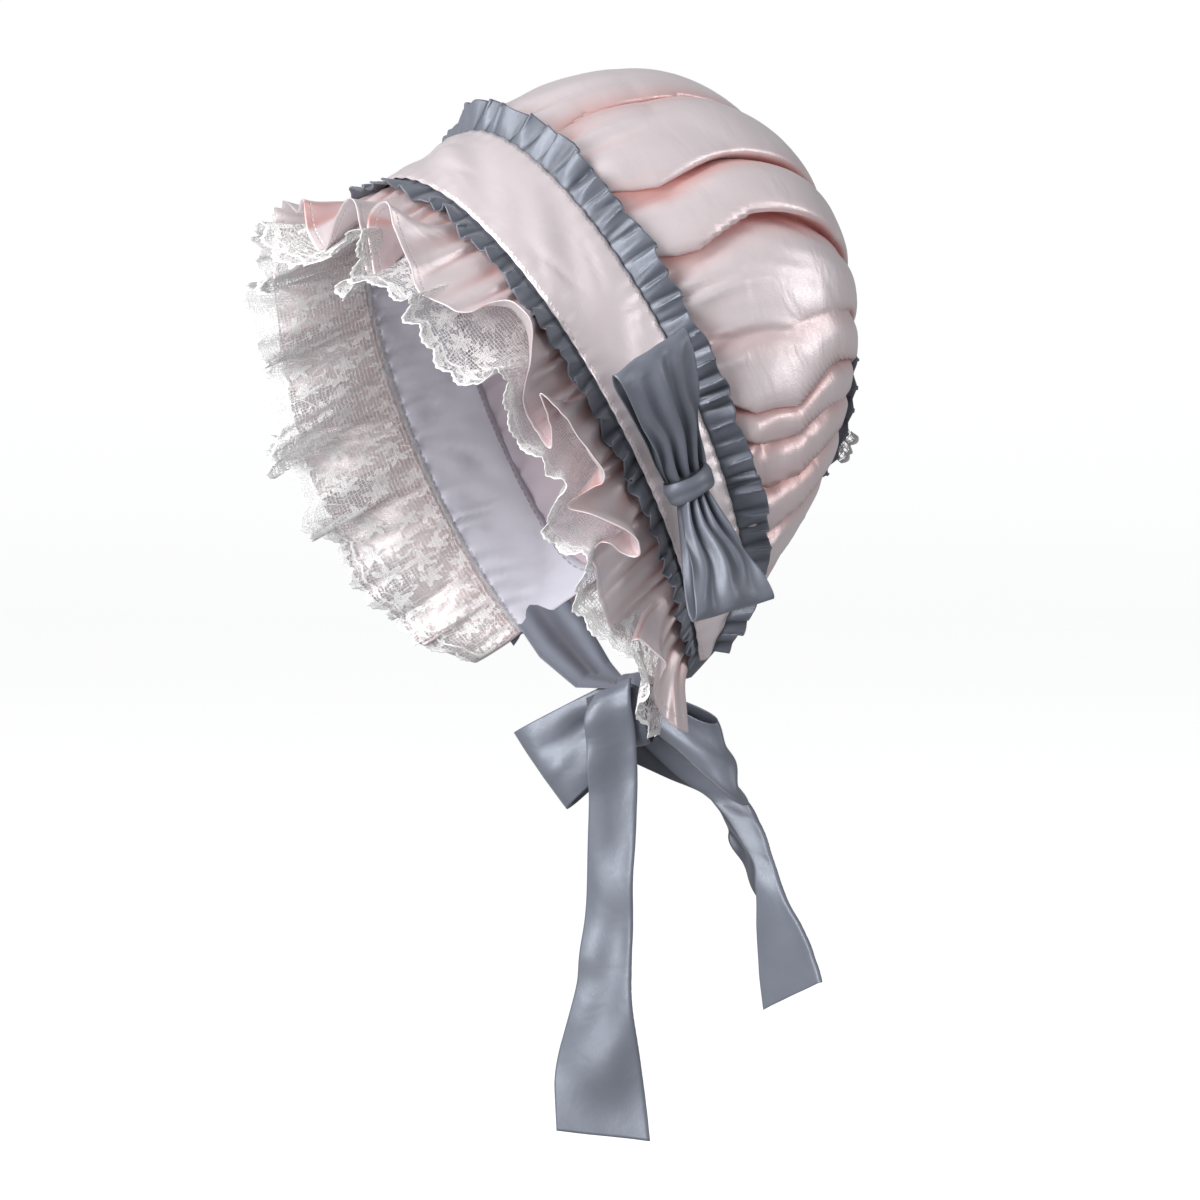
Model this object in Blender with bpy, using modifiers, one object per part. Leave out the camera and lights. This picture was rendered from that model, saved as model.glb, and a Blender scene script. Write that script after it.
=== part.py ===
"""A gathered satin bonnet with a ruffled, lace-edged brim, tied with ribbon under the chin.

The bonnet is drawn upright first, in a frame of its own: x to the wearer's left, back from the band's
front edge, and up from the level of the ears. bowed() then tips it forward as the head wears it, and
posed() puts the origin where the crown's lining rests on the head. Metres, +Z up, the face looks
along -Y.
"""

import math

import bmesh
import bpy
import numpy as np
from mathutils import Vector

# Cloth and seams
CLOTH = 0.0010
SEAM_GAP = 0.0005
LAYER = CLOTH + SEAM_GAP
FRILL_CLEAR = 0.4 * LAYER
TUCK = 0.005
TUCK_SHARE = 0.35

# The way the head is bowed
BOW_ANGLE = math.radians(27.0)

# The arch of the band's front edge: half ellipses that meet at the ears
ARCH_HALF_WIDTH = 0.081
ARCH_RISE = 0.133
ARCH_DROP = 0.075
ARCH_END_HALF_WIDTH = 0.062

# Band
BAND_WIDTH = 0.040
BAND_COLUMNS = 56

# Brim ruffle and the lace sewn inside it
BRIM_WIDTH = 0.039
BRIM_FLARE_TOP = math.radians(22.0)
BRIM_FLARE_SIDE = math.radians(38.0)
BRIM_FOLDS = 14
FOLD_COLUMNS = 5
BRIM_FOLD_DEPTH = 0.0075
BRIM_END_DROOP = 0.017
LACE_WIDTH = 0.047
LACE_STAND_OFF = 0.0040

# Gathered frills beside the band
FRONT_FRILL_WIDTH = 0.010
FRONT_FRILL_LIFT = math.radians(34.0)
FRONT_FRILL_GATHERS = 17
REAR_FRILL_WIDTH = 0.016
REAR_FRILL_LIFT = math.radians(50.0)
REAR_FRILL_GATHERS = 19
GATHER_DEPTH = 0.0014
GATHER_COLUMNS = 4

# Puffed crown and its smooth lining
CROWN_COLUMNS = 60
CROWN_ROWS = 8
CROWN_FOLD_DEPTH = 0.0070
CROWN_FOLD_RISE = 0.35
LINING_COLUMNS = BAND_COLUMNS // 2
LINING_ROWS = 6
LINING_FULLNESS = 0.78

# Round back panel that the gathers are drawn in to, with a frill and a tab of lace
PANEL_RADIUS = 0.026
PANEL_LAP = 0.004
PANEL_BACK = 0.1185
PANEL_UP = -0.020
PANEL_LEAN = math.radians(32.0)
PANEL_SWEEP = math.radians(158.0)
PANEL_DOME = 0.003
PANEL_COLUMNS = 24
PANEL_FRILL_WIDTH = 0.018
PANEL_FRILL_LIFT = math.radians(26.0)
PANEL_FRILL_GATHERS = 12
LACE_TAB_WIDTH = 0.014
LACE_TAB_LENGTH = 0.024
LACE_TAB_ANGLE = math.radians(125.0)

# Satin bow on the wearer's left side
SIDE_BOW_PLACE = 0.69
SIDE_BOW_BACK = 0.0115
UPPER_LOOP_LEAN = math.radians(0.0)
LOWER_LOOP_LEAN = math.radians(16.0)
UPPER_LOOP_LENGTH = 0.057
LOWER_LOOP_LENGTH = 0.049
UPPER_LOOP_LIFT = math.radians(12.0)
LOWER_LOOP_LIFT = math.radians(19.0)
WRAP_LENGTH = 0.009
WRAP_BULGE = 0.12
WRAP_HALF_WIDTH = 0.0097
WRAP_HALF_DEPTH = 0.0068

# Ribbon ties and the bow they make under the chin
RIBBON_WIDTH = 0.040
RIBBON_COLUMNS = 8
RIBBON_ROWS = 14
RIBBON_FOLDS = 2
LOOP_PUFF = 0.0090
LOOP_ROOT_GAP = 0.0013
CHIN_LOOP_ROOT = 0.30
UPPER_LOOP_ROOT = 0.41
LOWER_LOOP_ROOT = 0.26
LOOP_ROOT_OUT = 0.0039
LOOP_ROOT_RISE = 0.003
LOOP_TURN_WIDTH = 0.95
TIE_SEAM_PLACE = 0.93
TIE_SEAM_BACK = 0.0105
CHIN_BOW_TURN = math.radians(40.0)
KNOT_X = 0.004
KNOT_BACK = -0.002
KNOT_BELOW_ENDS = 0.030
KNOT_LENGTH = 0.013
KNOT_HALF_HEIGHT = 0.0132
KNOT_HALF_DEPTH = 0.0080
FRONT_LOOP_LENGTH = 0.045
BACK_LOOP_LENGTH = 0.040

# Columns: share of the half arch from its top, share of BAND_WIDTH
BAND_TAPER = ((0.0, 1.0), (0.45, 0.92), (0.75, 0.80), (0.87, 0.74), (0.94, 0.48), (1.0, 0.14))

# Columns: side, then shares of BRIM_WIDTH, of BRIM_END_DROOP and of the flare
BRIM_SIDES = (
    (-1.00, 0.45, -0.25, 0.90),
    (-0.92, 0.74, -0.10, 1.00),
    (-0.80, 0.95, 0.00, 1.00),
    (-0.30, 1.00, 0.00, 1.00),
    (0.30, 1.00, 0.00, 1.00),
    (0.80, 1.00, 0.08, 1.00),
    (0.92, 0.90, 0.50, 0.70),
    (1.00, 0.66, 1.00, 0.25),
)

# Columns: place at the band (share of the half arch, wearer's left positive), drift towards the back
# panel, share of CROWN_FOLD_DEPTH, half width (share of the half arch)
CROWN_FOLDS = (
    (-0.88, 0.02, 0.50, 0.055),
    (-0.72, 0.05, 0.80, 0.055),
    (-0.56, 0.04, 0.75, 0.055),
    (-0.40, 0.03, 0.95, 0.060),
    (-0.24, 0.02, 0.85, 0.055),
    (-0.08, -0.02, 0.80, 0.060),
    (0.09, -0.05, 0.95, 0.055),
    (0.25, -0.06, 1.00, 0.055),
    (0.40, -0.05, 1.00, 0.052),
    (0.55, 0.03, 0.85, 0.055),
    (0.69, 0.04, 1.00, 0.052),
    (0.83, -0.02, 0.80, 0.052),
)

# Columns: share of the half arch from its top, then the crown's two Bezier handles in metres: back and
# out from the band, and out along and off the panel
CROWN_PUFF = (
    (0.00, 0.084, 0.018, 0.100, 0.008),
    (0.35, 0.076, 0.019, 0.088, 0.008),
    (0.70, 0.053, 0.016, 0.052, 0.005),
    (0.88, 0.039, 0.010, 0.032, 0.004),
    (1.00, 0.030, 0.005, 0.024, 0.003),
)

# Columns: across, out and up from the knot, width, each a share of RIBBON_WIDTH; lie and swing of the
# ribbon's width in degrees, lie from level in the bow's own plane and swing out of it
LONG_TAIL = (
    (-0.16, 0.275, 0.22, 0.42, 25.0, 0.0),
    (-0.19, 0.38, 0.06, 0.52, 20.0, 0.0),
    (-0.17, 0.36, -0.35, 0.50, 8.0, 0.0),
    (-0.17, 0.30, -0.87, 0.50, 0.0, -5.0),
    (-0.21, 0.26, -1.66, 0.52, 0.0, 8.0),
    (-0.25, 0.26, -2.39, 0.55, 0.0, 12.0),
    (-0.28, 0.24, -2.89, 0.62, 0.0, 5.0),
    (-0.36, 0.24, -3.68, 0.94, -3.0, -8.0),
    (-0.30, 0.26, -4.35, 0.99, -5.0, -5.0))
SHORT_TAIL = (
    (0.12, -0.25, -0.30, 0.34, 30.0, 0.0),
    (0.46, -0.48, -0.66, 0.42, 15.0, 5.0),
    (0.80, -0.58, -0.98, 0.48, -12.0, 10.0),
    (1.02, -0.56, -1.24, 0.50, -18.0, 20.0),
    (1.20, -0.46, -1.62, 0.52, -22.0, 32.0),
    (1.36, -0.36, -1.98, 0.66, -12.0, 40.0),
    (1.50, -0.26, -2.54, 0.90, 15.0, 44.0),
    (1.62, -0.20, -2.90, 0.98, 32.0, 46.0),
)

# Columns: share of the way from the band's end to the knot, sag below the straight line and width, both
# shares of RIBBON_WIDTH, and turn of the width from along the band to upright in degrees
TIE_RUN = (
    (0.00, 0.00, 0.50, 0.0),
    (0.35, 0.16, 0.60, 20.0),
    (0.70, 0.22, 0.50, 50.0),
    (1.00, 0.00, 0.32, 85.0),
)


def column(rows, share, index):
    """A column of a hand-made table, read between its rows at a share given in its first column."""
    columns = np.array(rows).T
    return float(np.interp(share, columns[0], columns[index]))


# The arch and its frame


def ellipse_height(angle):
    """The vertical half axis that holds at an angle from the arch's top."""
    if abs(angle) <= math.pi / 2:
        return ARCH_RISE
    return ARCH_DROP / math.sqrt(1 - (ARCH_END_HALF_WIDTH / ARCH_HALF_WIDTH) ** 2)


def arch_point(angle):
    return Vector((ARCH_HALF_WIDTH * math.sin(angle), 0.0, ellipse_height(angle) * math.cos(angle)))


def measure_half_arch(steps=400):
    """Shares of the half arch's length and the angles they are reached at."""
    end = math.pi - math.asin(ARCH_END_HALF_WIDTH / ARCH_HALF_WIDTH)
    angles = np.linspace(0.0, end, steps)
    points = np.array([arch_point(angle) for angle in angles])
    lengths = np.cumsum(np.linalg.norm(np.diff(points, axis=0), axis=1))
    shares = np.concatenate([[0.0], lengths / lengths[-1]])
    return shares, angles


ARCH_SHARES, ARCH_ANGLES = measure_half_arch()
BACK = Vector((0.0, 1.0, 0.0))
DOWN = Vector((0.0, 0.0, -1.0))


def arch_frame(side, layer=0):
    """Point of the arch and its outward direction. side runs from -1 at the wearer's right end of the
    arch to 1 at the left, and layer counts layers of cloth from the facing outwards."""
    angle = math.copysign(float(np.interp(abs(side), ARCH_SHARES, ARCH_ANGLES)), side)
    point = arch_point(angle)
    height = ellipse_height(angle)
    outward = Vector((point.x / ARCH_HALF_WIDTH**2, 0.0, point.z / height**2)).normalized()
    return point + outward * layer * LAYER, outward


def band_width(side):
    return BAND_WIDTH * column(BAND_TAPER, abs(side), 1)


def tuck(side):
    """How far a gathered edge runs under the band, less where the band tapers."""
    return min(TUCK, TUCK_SHARE * band_width(side))


# The back panel's frame

PANEL_CENTRE = Vector((0.0, PANEL_BACK, PANEL_UP))
PANEL_NORMAL = Vector((0.0, math.cos(PANEL_LEAN), -math.sin(PANEL_LEAN)))
PANEL_TOP = Vector((0.0, math.sin(PANEL_LEAN), math.cos(PANEL_LEAN)))


def panel_ray(angle):
    """Direction in the panel's plane at an angle from its top, towards the wearer's left."""
    return Vector((math.sin(angle), 0.0, 0.0)) + PANEL_TOP * math.cos(angle)


# The crown and its lining


def bezier(start, first, second, end, share):
    rest = 1 - share
    outer = start * rest**3 + end * share**3
    return outer + first * (3 * rest * rest * share) + second * (3 * rest * share * share)


def puffed(side, along, layer, fullness, inset):
    """A surface from the band's rear edge to the back panel, with a share of the crown's fullness."""
    seam, outward = arch_frame(side, layer)
    start = seam + BACK * band_width(side)
    ray = panel_ray(side * PANEL_SWEEP)
    end = PANEL_CENTRE + ray * (PANEL_RADIUS - inset) - PANEL_NORMAL * inset
    back, out, along_panel, off_panel = (column(CROWN_PUFF, abs(side), i) for i in range(1, 5))
    first = start + BACK * back * fullness + outward * out * (2 * fullness - 1)
    second = end + ray * along_panel * fullness + PANEL_NORMAL * off_panel * (2 * fullness - 1)
    return bezier(start, first, second, end, along)


def crown_surface(side, along):
    return puffed(side, along, layer=1, fullness=1.0, inset=0.0)


def crown_normal(side, along, step=0.004):
    low, high = max(along - step, 0.0), min(along + step, 1.0)
    left, right = max(side - step, -1.0), min(side + step, 1.0)
    across = crown_surface(right, along) - crown_surface(left, along)
    back = crown_surface(side, high) - crown_surface(side, low)
    return across.cross(back).normalized()


def crown_fold(side, along):
    """Height of the crown's folds: each valley fades out at the band and at the panel."""
    valley = 0.0
    for place, drift, share, half_width in CROWN_FOLDS:
        away = (side - place - drift * along) / half_width
        valley += share * math.exp(-away * away)
    return CROWN_FOLD_DEPTH * math.sin(math.pi * along) * (CROWN_FOLD_RISE - valley)


def crown_place(u, v):
    """The crown with its edge tucked under the band in the first row."""
    side = 2 * u - 1
    row = v * CROWN_ROWS
    if row < 0.5:
        seam, _ = arch_frame(side, layer=1)
        return seam + BACK * (band_width(side) - tuck(side))
    along = max(row - 1, 0.0) / (CROWN_ROWS - 1)
    return crown_surface(side, along) + crown_normal(side, along) * crown_fold(side, along)


def lining_place(u, v):
    side = 2 * u - 1
    return puffed(side, v, layer=0, fullness=LINING_FULLNESS, inset=2 * LAYER) + BACK * 2 * SEAM_GAP


# The pose


def bowed(point):
    """A point of the upright bonnet, tipped forward as the bowed head holds it."""
    x, back, up = point
    cosine, sine = math.cos(BOW_ANGLE), math.sin(BOW_ANGLE)
    return Vector((x, back * cosine - up * sine, back * sine + up * cosine))


def head_seat():
    """The highest point of the lining's inner face."""
    tops = [bowed(lining_place(0.5, share)) for share in np.linspace(0.0, 1.0, 200)]
    return max(tops, key=lambda top: top.z) + DOWN * (CLOTH / 2)


SEAT = head_seat()


def posed(point):
    return bowed(point) - SEAT


# Blender helpers

for old in list(bpy.data.objects):
    bpy.data.objects.remove(old, do_unlink=True)
bonnet = bpy.data.collections.new("bonnet")
bpy.context.scene.collection.children.link(bonnet)


def finish(name, colour, roughness):
    material = bpy.data.materials.new(name)
    material.use_nodes = True
    shader = material.node_tree.nodes["Principled BSDF"]
    shader.inputs["Base Color"].default_value = (*colour, 1.0)
    shader.inputs["Roughness"].default_value = roughness
    shader.inputs["Metallic"].default_value = 0.0
    return material


PINK_SATIN = finish("pink_satin", (0.80, 0.62, 0.60), 0.38)
GREY_SATIN = finish("grey_satin", (0.22, 0.25, 0.32), 0.34)
WHITE_LACE = finish("white_lace", (0.80, 0.80, 0.79), 0.70)
WHITE_LINING = finish("white_lining", (0.70, 0.70, 0.78), 0.60)


def cloth(name, columns, rows, place, material):
    """A sheet of cloth: a flat grid laid over place(u, v), u and v from 0 to 1, then given its wall."""
    grid = bmesh.new()
    bmesh.ops.create_grid(grid, x_segments=columns, y_segments=rows, size=0.5)
    for vertex in grid.verts:
        vertex.co = place(vertex.co.x + 0.5, vertex.co.y + 0.5)
    bmesh.ops.remove_doubles(grid, verts=grid.verts, dist=1e-6)
    mesh = bpy.data.meshes.new(name)
    grid.to_mesh(mesh)
    grid.free()
    mesh.shade_smooth()
    mesh.materials.append(material)
    sheet = bpy.data.objects.new(name, mesh)
    bonnet.objects.link(sheet)
    wall = sheet.modifiers.new("wall", "SOLIDIFY")
    wall.thickness = CLOTH
    wall.offset = 0.0
    return sheet


# Band and the facing that lines it


def band_place(layer):
    def place(u, v):
        point, _ = arch_frame(2 * u - 1, layer)
        return posed(point + BACK * band_width(2 * u - 1) * v)

    return place


cloth("band", BAND_COLUMNS, 1, band_place(layer=3), PINK_SATIN)
cloth("band_facing", BAND_COLUMNS, 1, band_place(layer=0), WHITE_LINING)


# Crown and lining

cloth("crown", CROWN_COLUMNS, CROWN_ROWS, lambda u, v: posed(crown_place(u, v)), PINK_SATIN)
cloth("crown_lining", LINING_COLUMNS, LINING_ROWS, lambda u, v: posed(lining_place(u, v)), WHITE_LINING)


# Strips that leave the band: the brim ruffle, its lace and the two frills


def strip_place(layer, way, edge, width, lift, wave, droop=None, lap=tuck):
    """Place of a strip that leaves the band forwards, way -1, or backwards, way 1, at edge(side). It
    stands lift(side) off the arch, and wave(side) is its height in folds at the free edge. The first
    third of its rows runs under the band."""

    def place(u, v):
        side = 2 * u - 1
        seam, outward = arch_frame(side, layer)
        seam += BACK * edge(side)
        forward = BACK * way
        out = width(side) * max(1.5 * v - 0.5, 0.0)
        share = out / width(side)
        if share == 0.0:
            return posed(seam - forward * lap(side) * (1 - 3 * v))
        angle = lift(side)
        run = forward * math.cos(angle) + outward * math.sin(angle)
        normal = outward * math.cos(angle) - forward * math.sin(angle)
        fall = DOWN * droop(side) * share**2 if droop else DOWN * 0.0
        return posed(seam + run * out + normal * wave(side) * share + fall)

    return place


def brim_lift(side):
    flare = BRIM_FLARE_TOP + (BRIM_FLARE_SIDE - BRIM_FLARE_TOP) * math.sin(abs(side) * math.pi / 2)
    return flare * column(BRIM_SIDES, side, 3)


def brim_wave(side):
    return BRIM_FOLD_DEPTH * math.cos(math.pi * BRIM_FOLDS * side)


def brim_droop(side):
    return BRIM_END_DROOP * column(BRIM_SIDES, side, 2)


def gathers(count):
    return lambda side: GATHER_DEPTH * math.cos(math.pi * count * side)


cloth(
    "brim_ruffle",
    FOLD_COLUMNS * BRIM_FOLDS,
    3,
    strip_place(
        layer=1,
        way=-1,
        edge=lambda side: -LAYER,
        width=lambda side: BRIM_WIDTH * column(BRIM_SIDES, side, 1),
        lift=brim_lift,
        wave=brim_wave,
        droop=brim_droop,
    ),
    PINK_SATIN,
)
cloth(
    "brim_lace",
    FOLD_COLUMNS * BRIM_FOLDS,
    3,
    strip_place(
        layer=-1,
        way=-1,
        edge=lambda side: -LACE_STAND_OFF,
        width=lambda side: LACE_WIDTH * column(BRIM_SIDES, side, 1),
        lift=brim_lift,
        wave=brim_wave,
        droop=brim_droop,
        lap=lambda side: LACE_STAND_OFF - LAYER,
    ),
    WHITE_LACE,
)
cloth(
    "front_frill",
    GATHER_COLUMNS * FRONT_FRILL_GATHERS,
    3,
    strip_place(
        layer=2,
        way=-1,
        edge=lambda side: -FRILL_CLEAR,
        width=lambda side: FRONT_FRILL_WIDTH * (1 - 0.4 * abs(side) ** 6),
        lift=lambda side: brim_lift(side) + FRONT_FRILL_LIFT,
        wave=gathers(FRONT_FRILL_GATHERS),
    ),
    GREY_SATIN,
)
cloth(
    "rear_frill",
    GATHER_COLUMNS * REAR_FRILL_GATHERS,
    3,
    strip_place(
        layer=2,
        way=1,
        edge=lambda side: band_width(side) + FRILL_CLEAR,
        width=lambda side: REAR_FRILL_WIDTH * (1 - 0.5 * abs(side) ** 8),
        lift=lambda side: REAR_FRILL_LIFT,
        wave=gathers(REAR_FRILL_GATHERS),
    ),
    GREY_SATIN,
)


# Back panel with its frill and lace tab


def panel_place(u, v):
    ray = panel_ray(2 * math.pi * u)
    dome = PANEL_DOME * (1 - v * v)
    return posed(PANEL_CENTRE + ray * (PANEL_RADIUS + PANEL_LAP) * v + PANEL_NORMAL * (2 * LAYER + dome))


def panel_frill_place(u, v):
    angle = 2 * math.pi * u
    ray = panel_ray(angle)
    out = PANEL_FRILL_WIDTH * max(1.5 * v - 0.5, 0.0)
    radius = PANEL_RADIUS + PANEL_LAP * min(3 * v, 1.0)
    run = ray * math.cos(PANEL_FRILL_LIFT) + PANEL_NORMAL * math.sin(PANEL_FRILL_LIFT)
    ripple = GATHER_DEPTH * math.cos(PANEL_FRILL_GATHERS * angle) * out / PANEL_FRILL_WIDTH
    return posed(PANEL_CENTRE + ray * radius + run * out + PANEL_NORMAL * (LAYER + ripple))


def lace_tab_place(u, v):
    """A short end of lace that hangs over the panel's frill."""
    ray = panel_ray(LACE_TAB_ANGLE)
    across = panel_ray(LACE_TAB_ANGLE + math.pi / 2) * LACE_TAB_WIDTH * (u - 0.5)
    start = PANEL_CENTRE + ray * (PANEL_RADIUS - PANEL_LAP) + PANEL_NORMAL * 4 * LAYER
    run = ray * math.cos(PANEL_FRILL_LIFT) + PANEL_NORMAL * math.sin(PANEL_FRILL_LIFT)
    return posed(start + across + run * LACE_TAB_LENGTH * v)


cloth("back_panel", PANEL_COLUMNS, 3, panel_place, PINK_SATIN)
cloth("back_frill", GATHER_COLUMNS * PANEL_FRILL_GATHERS, 3, panel_frill_place, GREY_SATIN)
cloth("back_lace_tab", 4, 4, lace_tab_place, WHITE_LACE)


# Bows: a loop of ribbon runs out from the wrap and back, wider at its turn than at its root


def loop_place(origin, along, wide, out, length, root_width, to_world):
    def place(u, v):
        turn = math.pi * v
        reach = length * math.sin(turn)
        puff = LOOP_PUFF * math.sin(2 * turn) * math.sin(turn) + LOOP_ROOT_GAP * math.cos(turn)
        share = root_width + (LOOP_TURN_WIDTH - root_width) * math.sin(turn) ** 1.5
        middle = origin + along * reach + out * puff
        return to_world(middle + wide * RIBBON_WIDTH * share * (u - 0.5))

    return place


def wrap_place(origin, along, wide, out, length, half_width, half_depth, to_world):
    def place(u, v):
        angle = 2 * math.pi * u
        ring = wide * half_width * math.cos(angle) + out * half_depth * math.sin(angle)
        return to_world(origin + ring * (1 + WRAP_BULGE * math.sin(math.pi * v)) + along * length * (v - 0.5))

    return place


seam, SIDE_OUT = arch_frame(SIDE_BOW_PLACE, layer=3)
SIDE_BOW = seam + BACK * SIDE_BOW_BACK + SIDE_OUT * (WRAP_HALF_DEPTH * (1 + WRAP_BULGE) + LAYER)
SIDE_UP = SIDE_OUT.cross(BACK)

for name, way, length, lift, lean, root_width in (
    ("side_bow_upper_loop", 1, UPPER_LOOP_LENGTH, UPPER_LOOP_LIFT, UPPER_LOOP_LEAN, UPPER_LOOP_ROOT),
    ("side_bow_lower_loop", -1, LOWER_LOOP_LENGTH, LOWER_LOOP_LIFT, LOWER_LOOP_LEAN, LOWER_LOOP_ROOT),
):
    level = (SIDE_UP * math.cos(lean) + BACK * math.sin(lean)) * way
    along = level * math.cos(lift) + SIDE_OUT * math.sin(lift)
    out = SIDE_OUT * math.cos(lift) - level * math.sin(lift)
    root = SIDE_BOW + along * LOOP_ROOT_OUT - SIDE_OUT * SEAM_GAP
    cloth(
        name,
        RIBBON_COLUMNS // 2,
        RIBBON_ROWS,
        loop_place(root, along, along.cross(out), out, length, root_width, posed),
        GREY_SATIN,
    )
cloth(
    "side_bow_wrap",
    16,
    3,
    wrap_place(SIDE_BOW, SIDE_UP, BACK, SIDE_OUT, WRAP_LENGTH, WRAP_HALF_WIDTH, WRAP_HALF_DEPTH, posed),
    GREY_SATIN,
)


# Chin bow, in a frame that hangs true: across and out are level, whichever way the head is bowed

band_end, _ = arch_frame(1.0)
KNOT = posed(Vector((KNOT_X, KNOT_BACK, band_end.z - KNOT_BELOW_ENDS)))
ACROSS = Vector((math.cos(CHIN_BOW_TURN), math.sin(CHIN_BOW_TURN), 0.0))
OUT = Vector((math.sin(CHIN_BOW_TURN), -math.cos(CHIN_BOW_TURN), 0.0))
UP = Vector((0.0, 0.0, 1.0))


def width_way(lie, swing):
    """Direction of a ribbon's width, lie and swing in degrees."""
    lie, swing = math.radians(lie), math.radians(swing)
    flat = ACROSS * math.cos(lie) + UP * math.sin(lie)
    return flat * math.cos(swing) + OUT * math.sin(swing)


def tail_place(rows):
    """A hanging ribbon through the rows of a table. Where it is narrower than RIBBON_WIDTH the rest
    of the cloth goes into lengthwise folds."""
    knots = np.linspace(0.0, 1.0, len(rows))

    def place(u, v):
        across, out, up, width, lie, swing = (float(np.interp(v, knots, c)) for c in np.array(rows).T)
        middle = KNOT + (ACROSS * across + OUT * out + UP * up) * RIBBON_WIDTH
        wide = width_way(lie, swing)
        face = wide.cross(UP).normalized()
        height = width * RIBBON_WIDTH / (math.pi * RIBBON_FOLDS) * math.sqrt(max(1 / width - 1, 0.0))
        fold = face * height * math.cos(2 * math.pi * RIBBON_FOLDS * u)
        return middle + wide * width * RIBBON_WIDTH * (u - 0.5) + fold

    return place


def tie_place(way):
    """A tie from inside the band's end to the knot, way 1 on the wearer's left and -1 on the right."""
    seam, outward = arch_frame(way * TIE_SEAM_PLACE)
    start = posed(seam - outward * LAYER + BACK * TIE_SEAM_BACK)
    end = KNOT + ACROSS * way * (0.5 * KNOT_LENGTH + 2 * SEAM_GAP) + UP * 0.75 * KNOT_HALF_HEIGHT
    band_way = (posed(BACK) - posed(Vector((0.0, 0.0, 0.0)))).normalized()

    def place(u, v):
        sag, width, turn = (column(TIE_RUN, v, index) for index in range(1, 4))
        turn = math.radians(turn)
        wide = (band_way * math.cos(turn) - OUT * math.sin(turn)).normalized()
        middle = start.lerp(end, v) - UP * sag * RIBBON_WIDTH
        return middle + wide * width * RIBBON_WIDTH * (u - 0.5)

    return place


FRONT_LOOP_WAY = -ACROSS * math.cos(math.radians(36)) - UP * math.sin(math.radians(36))
BACK_LOOP_WAY = ACROSS * math.cos(math.radians(31)) - UP * math.sin(math.radians(31))


def as_it_is(point):
    return point


for name, way, wide, length in (
    ("chin_bow_front_loop", FRONT_LOOP_WAY, width_way(126.0, 0.0), FRONT_LOOP_LENGTH),
    ("chin_bow_back_loop", BACK_LOOP_WAY, width_way(66.0, 25.0), BACK_LOOP_LENGTH),
):
    facing = way.cross(wide).normalized()
    out = facing if facing.dot(OUT) > 0 else -facing
    root = KNOT + way * LOOP_ROOT_OUT + UP * LOOP_ROOT_RISE
    cloth(
        name,
        RIBBON_COLUMNS // 2,
        RIBBON_ROWS,
        loop_place(root, way, wide, out, length, CHIN_LOOP_ROOT, as_it_is),
        GREY_SATIN,
    )
cloth(
    "chin_bow_knot",
    16,
    3,
    wrap_place(KNOT, ACROSS, UP, OUT, KNOT_LENGTH, KNOT_HALF_HEIGHT, KNOT_HALF_DEPTH, as_it_is),
    GREY_SATIN,
)
cloth("long_tail", RIBBON_COLUMNS, RIBBON_ROWS, tail_place(LONG_TAIL), GREY_SATIN)
cloth("short_tail", RIBBON_COLUMNS, RIBBON_ROWS, tail_place(SHORT_TAIL), GREY_SATIN)
cloth("tie_left", 4, 8, tie_place(1), GREY_SATIN)
cloth("tie_right", 4, 8, tie_place(-1), GREY_SATIN)
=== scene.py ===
import math

import bmesh
import bpy
import numpy as np
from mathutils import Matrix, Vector


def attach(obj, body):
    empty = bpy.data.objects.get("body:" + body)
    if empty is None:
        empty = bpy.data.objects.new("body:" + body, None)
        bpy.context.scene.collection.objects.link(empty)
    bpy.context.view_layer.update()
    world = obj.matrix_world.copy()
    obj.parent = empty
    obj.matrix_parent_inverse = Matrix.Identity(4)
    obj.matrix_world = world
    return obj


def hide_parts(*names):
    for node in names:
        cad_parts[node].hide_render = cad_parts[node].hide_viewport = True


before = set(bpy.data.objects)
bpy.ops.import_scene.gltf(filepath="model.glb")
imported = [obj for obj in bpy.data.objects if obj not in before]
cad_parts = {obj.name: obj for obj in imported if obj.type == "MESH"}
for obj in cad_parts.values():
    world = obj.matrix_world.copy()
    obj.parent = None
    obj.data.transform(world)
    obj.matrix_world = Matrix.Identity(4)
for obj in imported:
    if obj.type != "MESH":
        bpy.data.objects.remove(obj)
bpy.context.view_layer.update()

# Facing
# A strip of thin white cotton lawn lines the satin band and takes the rub of the hair. Its front edge is
# turned in and run by hand, so it puckers there, and its rear edge is stitched through to the band.
LAYER, FACING_LAYER = 0.0015, -0.4
BAND_WIDTH = 0.040
BAND_TAPER = ((0.0, 1.0), (0.45, 0.92), (0.75, 0.80), (0.87, 0.74), (0.94, 0.48), (1.0, 0.14))
FACING_WIDTHS = ((0.0, 1.0), (0.45, 0.95), (0.75, 0.92), (0.87, 0.90), (0.94, 0.86), (1.0, 0.78))
ARCH_HALF_WIDTH, ARCH_RISE, ARCH_DROP, ARCH_END_HALF_WIDTH = 0.081, 0.133, 0.075, 0.062
BOW_ANGLE = math.radians(27.0)
HEAD_SEAT = np.array([0.0, 0.0252733, 0.1517775])
BACK = np.array([0.0, 1.0, 0.0])
TAU = 2 * math.pi


def read(rows, share, index):
    """A column of a table, read between its rows at shares given in its first column."""
    columns = np.array(rows).T
    return np.interp(share, columns[0], columns[index])


def unit(ways):
    return ways / np.linalg.norm(ways, axis=-1, keepdims=True)


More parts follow.
